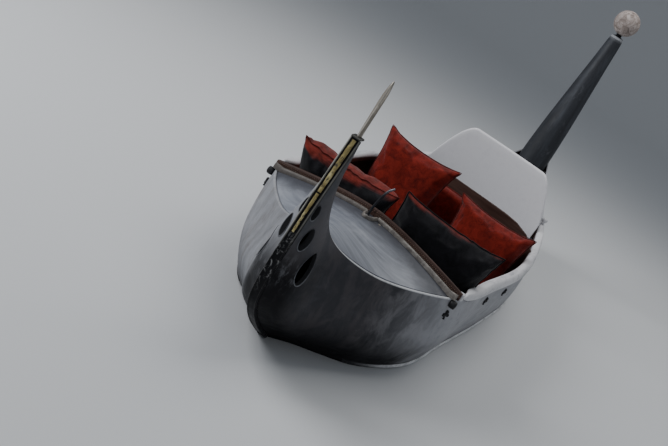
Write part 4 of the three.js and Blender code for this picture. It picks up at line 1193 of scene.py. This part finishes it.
def sewn_sheets(width, height, thick, pinch, taper, square, count, fold=1.2):
    """Two sheets joined round their edge: points, quads, flat cut, edge loop and the mark of the reverse side.

    Across and up run from -1 to 1. Each sheet bulges by half the thickness times (1 - across^square)(1 - up^square),
    to the power 0.45, and the outline pulls in between its corners by the pinch and narrows to the foot by the taper.
    The reverse side's cloth is folded over the top edge and covers the front sheet above the fold.
    """
    line = np.linspace(-1, 1, count + 1)
    a, b = np.meshgrid(line, line, indexing="ij")
    crown = np.clip((1 - np.abs(a) ** square) * (1 - np.abs(b) ** square), 0, None) ** 0.45
    x = width / 2 * a * (1 - pinch * (1 - b * b)) * (1 - taper * (1 - b) / 2)
    z = height / 2 * b * (1 - pinch * (1 - a * a))
    front, back = (columns_at(x, sign * thick / 2 * crown, z).reshape(-1, 3) for sign in (-1, 1))
    size = count + 1
    index = np.arange(size * size).reshape(size, size)
    free = index[1:-1, 1:-1].ravel()
    back_index = index.copy()
    back_index[1:-1, 1:-1] = (size * size + np.arange(len(free))).reshape(count - 1, count - 1)
    quads = np.concatenate([corners(grid) for grid in (index, back_index)]).reshape(-1, 4).tolist()
    flat = np.stack((corners(a * width / 2), corners(b * height / 2)), axis=-1)
    cut = np.concatenate((flat, flat + (1.0, 0.0)))
    folded = smoothstep(b + 0.02 * np.sin(7.0 * a + 1.0) - 0.03 * a, fold - 0.015, fold + 0.015)
    reverse = np.concatenate((folded.ravel(), np.ones(len(free))))
    loop = np.concatenate((index[:, 0], index[-1, 1:], index[-2::-1, -1], index[0, -2:0:-1]))
    return Sheet(np.concatenate((front, back[free])), quads, cut, loop, reverse)


def inflate(points, quads, pressure, cap, frames=20):
    """Points after a cloth simulation with inner pressure and no gravity, each moved by at most the cap."""
    body = linked("blown", mesh_of("blown", points, quads))
    modifier = body.modifiers.new("cloth", "CLOTH")
    settings = modifier.settings
    settings.quality = 6
    settings.mass = 0.25
    settings.tension_stiffness = settings.compression_stiffness = 18.0
    settings.shear_stiffness = 8.0
    settings.bending_stiffness = 0.4
    settings.use_pressure = True
    settings.uniform_pressure_force = pressure
    settings.effector_weights.gravity = 0.0
    modifier.collision_settings.use_collision = False
    modifier.point_cache.frame_start, modifier.point_cache.frame_end = 1, frames
    for step in range(1, frames + 1):
        scene.frame_set(step)
    evaluated = body.evaluated_get(bpy.context.evaluated_depsgraph_get())
    moved = np.empty(len(points) * 3)
    evaluated.data.vertices.foreach_get("co", moved)
    scene.frame_set(1)
    bpy.data.objects.remove(body)
    shift = moved.reshape(-1, 3) - points
    length = np.linalg.norm(shift, axis=1, keepdims=True)
    return points + shift * np.minimum(1.0, cap / np.maximum(length, 1e-9))


def blown_up(points, quads, pressure, cap):
    """Inflated points, stretched across and up to the width and height they had when flat."""
    moved = inflate(points, quads, pressure, cap).copy()
    for axis in (0, 2):
        flat, blown = points[:, axis], moved[:, axis].copy()
        moved[:, axis] = (blown - blown.min()) * np.ptp(flat) / np.ptp(blown) + flat.min()
    return moved


def soft_piece(name, points, sheet, material, slot, piping, cord_radius, replaced):
    """Upholstered piece smoothed by one subdivision, with piping sewn along its edge loop."""
    marks = {"reverse": sheet.reverse}
    piece = new_object(name, points, sheet.quads, material, slot, None, marks, sheet.cut, replaced)
    modifier = piece.modifiers.new("smooth", "SUBSURF")
    modifier.levels = modifier.render_levels = 1
    apply_modifiers(piece)
    path = points[sheet.loop]
    up = unit(path - path.mean(axis=0))
    solid(name + "_piping", tube(path, cord_radius, up, 8, closed=True), piping, slot, loop=True, sharp=None)


# Loose cushions. Sizes and the place across are in metres, the place aft of the prow in millimetres and the angles in
# degrees: a negative lean tips the top aft, and a positive yaw turns the port end aft. Above the fold, a share of the
# half height, the reverse's cloth shows on the front.
Cushion = namedtuple("Cushion", "label size pinch taper fold piping lean yaw tilt across place")
CUSHIONS = (
    Cushion("front_starboard", (0.410, 0.446, 0.150), 0.06, 0.12, 0.955, RED_PIPING, 32, 5, -1, -0.187, 834),
    Cushion("front_port", (0.424, 0.403, 0.095), 0.05, 0.04, 0.985, PIPING, 8, 18, 5, 0.218, 812),
    Cushion("rear_starboard", (0.396, 0.448, 0.090), 0.09, 0.12, 1.2, RED_PIPING, -14, 0, 0, -0.228, 1740),
    Cushion("rear_port", (0.396, 0.383, 0.090), 0.09, 0.12, 1.2, RED_PIPING, -14, 0, 0, 0.228, 1735),
)


def puckered(points, reverse, width, height, depth, seed):
    """Points with small folds that run in from the seam and soft creases across the panel, seeded by a phase."""
    x, _, z = points.T
    across, up = np.abs(x / (width / 2)), np.abs(z / (height / 2))
    near = np.maximum(across, up)
    along = np.where(across > up, z, x)
    fold = depth * smoothstep(near, 0.72, 0.93) * (1 - smoothstep(near, 0.96, 1.0))
    fold = fold * (0.5 + 0.5 * np.sin(along * 23.0 + 3.1 * seed) * np.sin(along * 9.0 + seed))
    waves = np.sin(along * 151.0 + 3.0 * np.sin(along * 19.0 + seed)) + 0.7 * np.sin(along * 87.0 + 2.3 * seed)
    fold = fold * waves
    crease = 0.6 * depth * np.sin((x * 1.3 + z) * 31.0 + seed) * np.sin((x - z * 0.7) * 23.0 + 2.0 * seed)
    crease = crease * (1 - smoothstep(near, 0.8, 1.0))
    moved = points.copy()
    moved[:, 1] += np.where(reverse > 0.5, 1.0, -1.0) * (fold + crease)
    return moved


def make_cushions():
    """Four loose cushions, blown up in simulation and set on the thwart and the seat, where they are pressed flat."""
    pressed, press, settle, fold_depth, cord = 0.012, 0.35, 0.0078, 0.0035, 0.0026
    for number, row in enumerate(CUSHIONS):
        front = row.label.startswith("front")
        sheet = sewn_sheets(*row.size, row.pinch, row.taper, 4, 56, row.fold)
        points = puckered(sheet.points, sheet.reverse, *row.size[:2], fold_depth, 1.7 * number + 0.4)
        turn = rotation((row.yaw, "Z"), (row.lean, "X"), (row.tilt, "Y"))
        points = blown_up(points, sheet.quads, 4.0, 0.016) @ np.array(turn).T
        base = (THWART_TOP if front else SEAT_TOP) + SEAT_GAP
        points += (row.across, aft(row.place), base - points[:, 2].min())
        above = points[:, 2] - base
        points[:, 2] = np.where(above < pressed, base + above * press, points[:, 2] - settle)
        look, slot = (BLACK_CLOTH, "black_cloth") if front else (RED, "red_cloth")
        name, replaced = "pillow_" + row.label, "cushion_" + row.label
        soft_piece(name, points, sheet, look, slot, row.piping, cord, replaced)


def sew(points, lines, depth, spread, near):
    """Press seams into both faces: each is a bell of the depth and spread about its line."""
    for line in lines:
        bell = depth * np.exp(-(((points[:, 0] - line) / spread) ** 2))
        points[:, 1] -= np.sign(points[:, 1]) * bell * smoothstep(np.abs(points[:, 1]), 0.0, near)


def make_seat():
    """Broad seat cushion with two seams running fore and aft, and the padded back in three sewn panels."""
    middle, pad_foot, pad_top, clearance, cord = 0.0435, 0.0008, 0.0845, 0.0195, 0.0034
    sheet = sewn_sheets(0.80, 0.70, 0.074, 0.012, 0.0, 12, 64)
    points = blown_up(sheet.points, sheet.quads, 2.5, 0.007)
    sew(points, (-0.133, 0.133), 0.009, 0.009, 0.02)
    points = columns_at(points[:, 0], aft(1650) + points[:, 2], middle - points[:, 1])
    points[:, 2] = np.clip(points[:, 2], pad_foot, pad_top)
    points[:, 0] = inside_skin(points, clearance)
    soft_piece("seat_pad", points, sheet, RED, "red_cloth", RED_PIPING, cord, "seat_cushion")
    back_foot, back_middle, back_limit = 0.0865, 0.160, aft(2010.5)
    sheet = sewn_sheets(0.735, 0.315, 0.112, 0.03, 0.0, 8, 60)
    points = blown_up(sheet.points, sheet.quads, 3.0, 0.010)
    sew(points, (-0.125, 0.125), 0.016, 0.010, 0.03)
    points = points + (0.0, aft(1938), back_foot + back_middle)
    points[:, 1] = np.minimum(points[:, 1], back_limit)
    points[:, 2] = np.maximum(points[:, 2], back_foot)
    soft_piece("back_pad", points, sheet, RED, "red_cloth", RED_PIPING, cord, "back_cushion")


# Kept CAD nodes, camera, lights and floor


def paint_frame():
    """Materials of the CAD nodes that stay."""
    ribs = [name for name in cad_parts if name.startswith("rib_")]
    cross_grained = ["fore_bulkhead", "front_thwart", "aft_bulkhead", "seat_base", "seat_back"] + ribs
    for material, names in (
        (SLATE, ["hull_bottom", "keel"]),
        (HULL, ["prow_web"]),
        (DECK, ["shelf_deck", "aft_deck"]),
        (TRIM, ["aft_deck_nosing"]),
        (WOOD_CROSS, cross_grained),
        (WOOD_FLOOR, ["cockpit_floor"]),
    ):
        for name in names:
            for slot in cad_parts[name].material_slots:
                slot.material = material


def set_camera():
    """Camera off the port bow, rolled as in the photograph."""
    azimuth, elevation, roll, place = 15.06, 17.0, 32.03, (0.763, -4.353, 1.342)
    data = bpy.data.cameras.new("camera")
    data.lens = 52.98
    data.sensor_width = 36.0
    data.clip_end = 200.0
    camera = linked("camera", data)
    turn = rotation((azimuth, "Z"), (90.0 - elevation, "X"), (roll, "Z"))
    camera.matrix_world = Matrix.Translation(place) @ turn.to_4x4()
    scene.camera = camera


def area_light(name, place, target, size, power, colour):
    data = bpy.data.lights.new(name, "AREA")
    data.shape = "RECTANGLE"
    data.size, data.size_y = size
    data.energy = power
    data.color = colour
    light = linked(name, data)
    light.location = place
    light.rotation_euler = (Vector(target) - Vector(place)).to_track_quat("-Z", "Y").to_euler()


def set_lights():
    """Wide soft light from starboard and above, weak from port."""
    world = bpy.data.worlds.new("studio")
    world.use_nodes = True
    world.node_tree.nodes["Background"].inputs["Color"].default_value = (0.78, 0.84, 0.92, 1.0)
    world.node_tree.nodes["Background"].inputs["Strength"].default_value = 0.30
    scene.world = world
    area_light("key", (-4.2, -2.6, 3.6), (0.0, 0.2, 0.2), (3.2, 3.2), 240.0, (0.97, 0.98, 1.0))
    area_light("top", (0.6, 1.5, 4.6), (0.0, 0.3, 0.2), (3.5, 4.5), 110.0, (1.0, 0.99, 0.97))
    area_light("fill", (3.6, -3.6, 1.6), (0.2, 0.0, 0.3), (2.5, 2.0), 16.0, (0.95, 0.97, 1.0))


def make_floor():
    """Plain pale floor at the waterline, rising into a wide cove far behind the boat.

    Rows of four points run aft. The middle faces are left out inside the boat's skin, between the bulkheads, so the
    cockpit shows its own floor.
    """
    reach, start, radius, top = 60.0, 16.0, 14.0, 40.0
    t = np.linspace(0.05, 0.95, 181)
    waterline = side(t, share_at(t, 0.0))
    along = np.linspace(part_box("fore_bulkhead")[0][1] + 0.004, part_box("aft_bulkhead")[1][1] - 0.004, 40)
    half = np.interp(along, waterline[:, 1], waterline[:, 0]) - SKIN / 2
    rise = np.radians(np.linspace(0, 90, 25))
    y = np.concatenate(([-reach], along, start + radius * np.sin(rise), [start + radius]))
    z = np.concatenate((np.zeros(1 + len(along)), radius - radius * np.cos(rise), [top]))
    middle = np.interp(y, along, half)
    points = np.stack([columns_at(x, y, z) for x in (-reach, -middle, middle, reach)], axis=1).reshape(-1, 3)
    faces = [
        (4 * i + k, 4 * i + k + 1, 4 * i + k + 5, 4 * i + k + 4)
        for i in range(len(y) - 1)
        for k in range(3)
        if k != 1 or not 1 <= i < len(along)
    ]
    mesh = bpy.data.meshes.new("floor")
    mesh.from_pydata(points.tolist(), [], faces)
    mesh.shade_smooth()
    look = Look("floor_pale", roughness=0.9)
    look.sockets["Base Color"].default_value = (0.62, 0.63, 0.64, 1.0)
    mesh.materials.append(look.material)
    linked("floor", mesh)


set_camera()
set_lights()
make_floor()
paint_frame()
make_hull_sides()
make_hole_rims()
make_stem()
make_gilding()
make_head_and_spike()
make_foredeck()
make_coaming()
make_ridge_fittings()
make_gunwales()
make_knobs()
make_strakes()
make_club_marks()
make_backrest()
make_stern_post()
make_cushions()
make_seat()
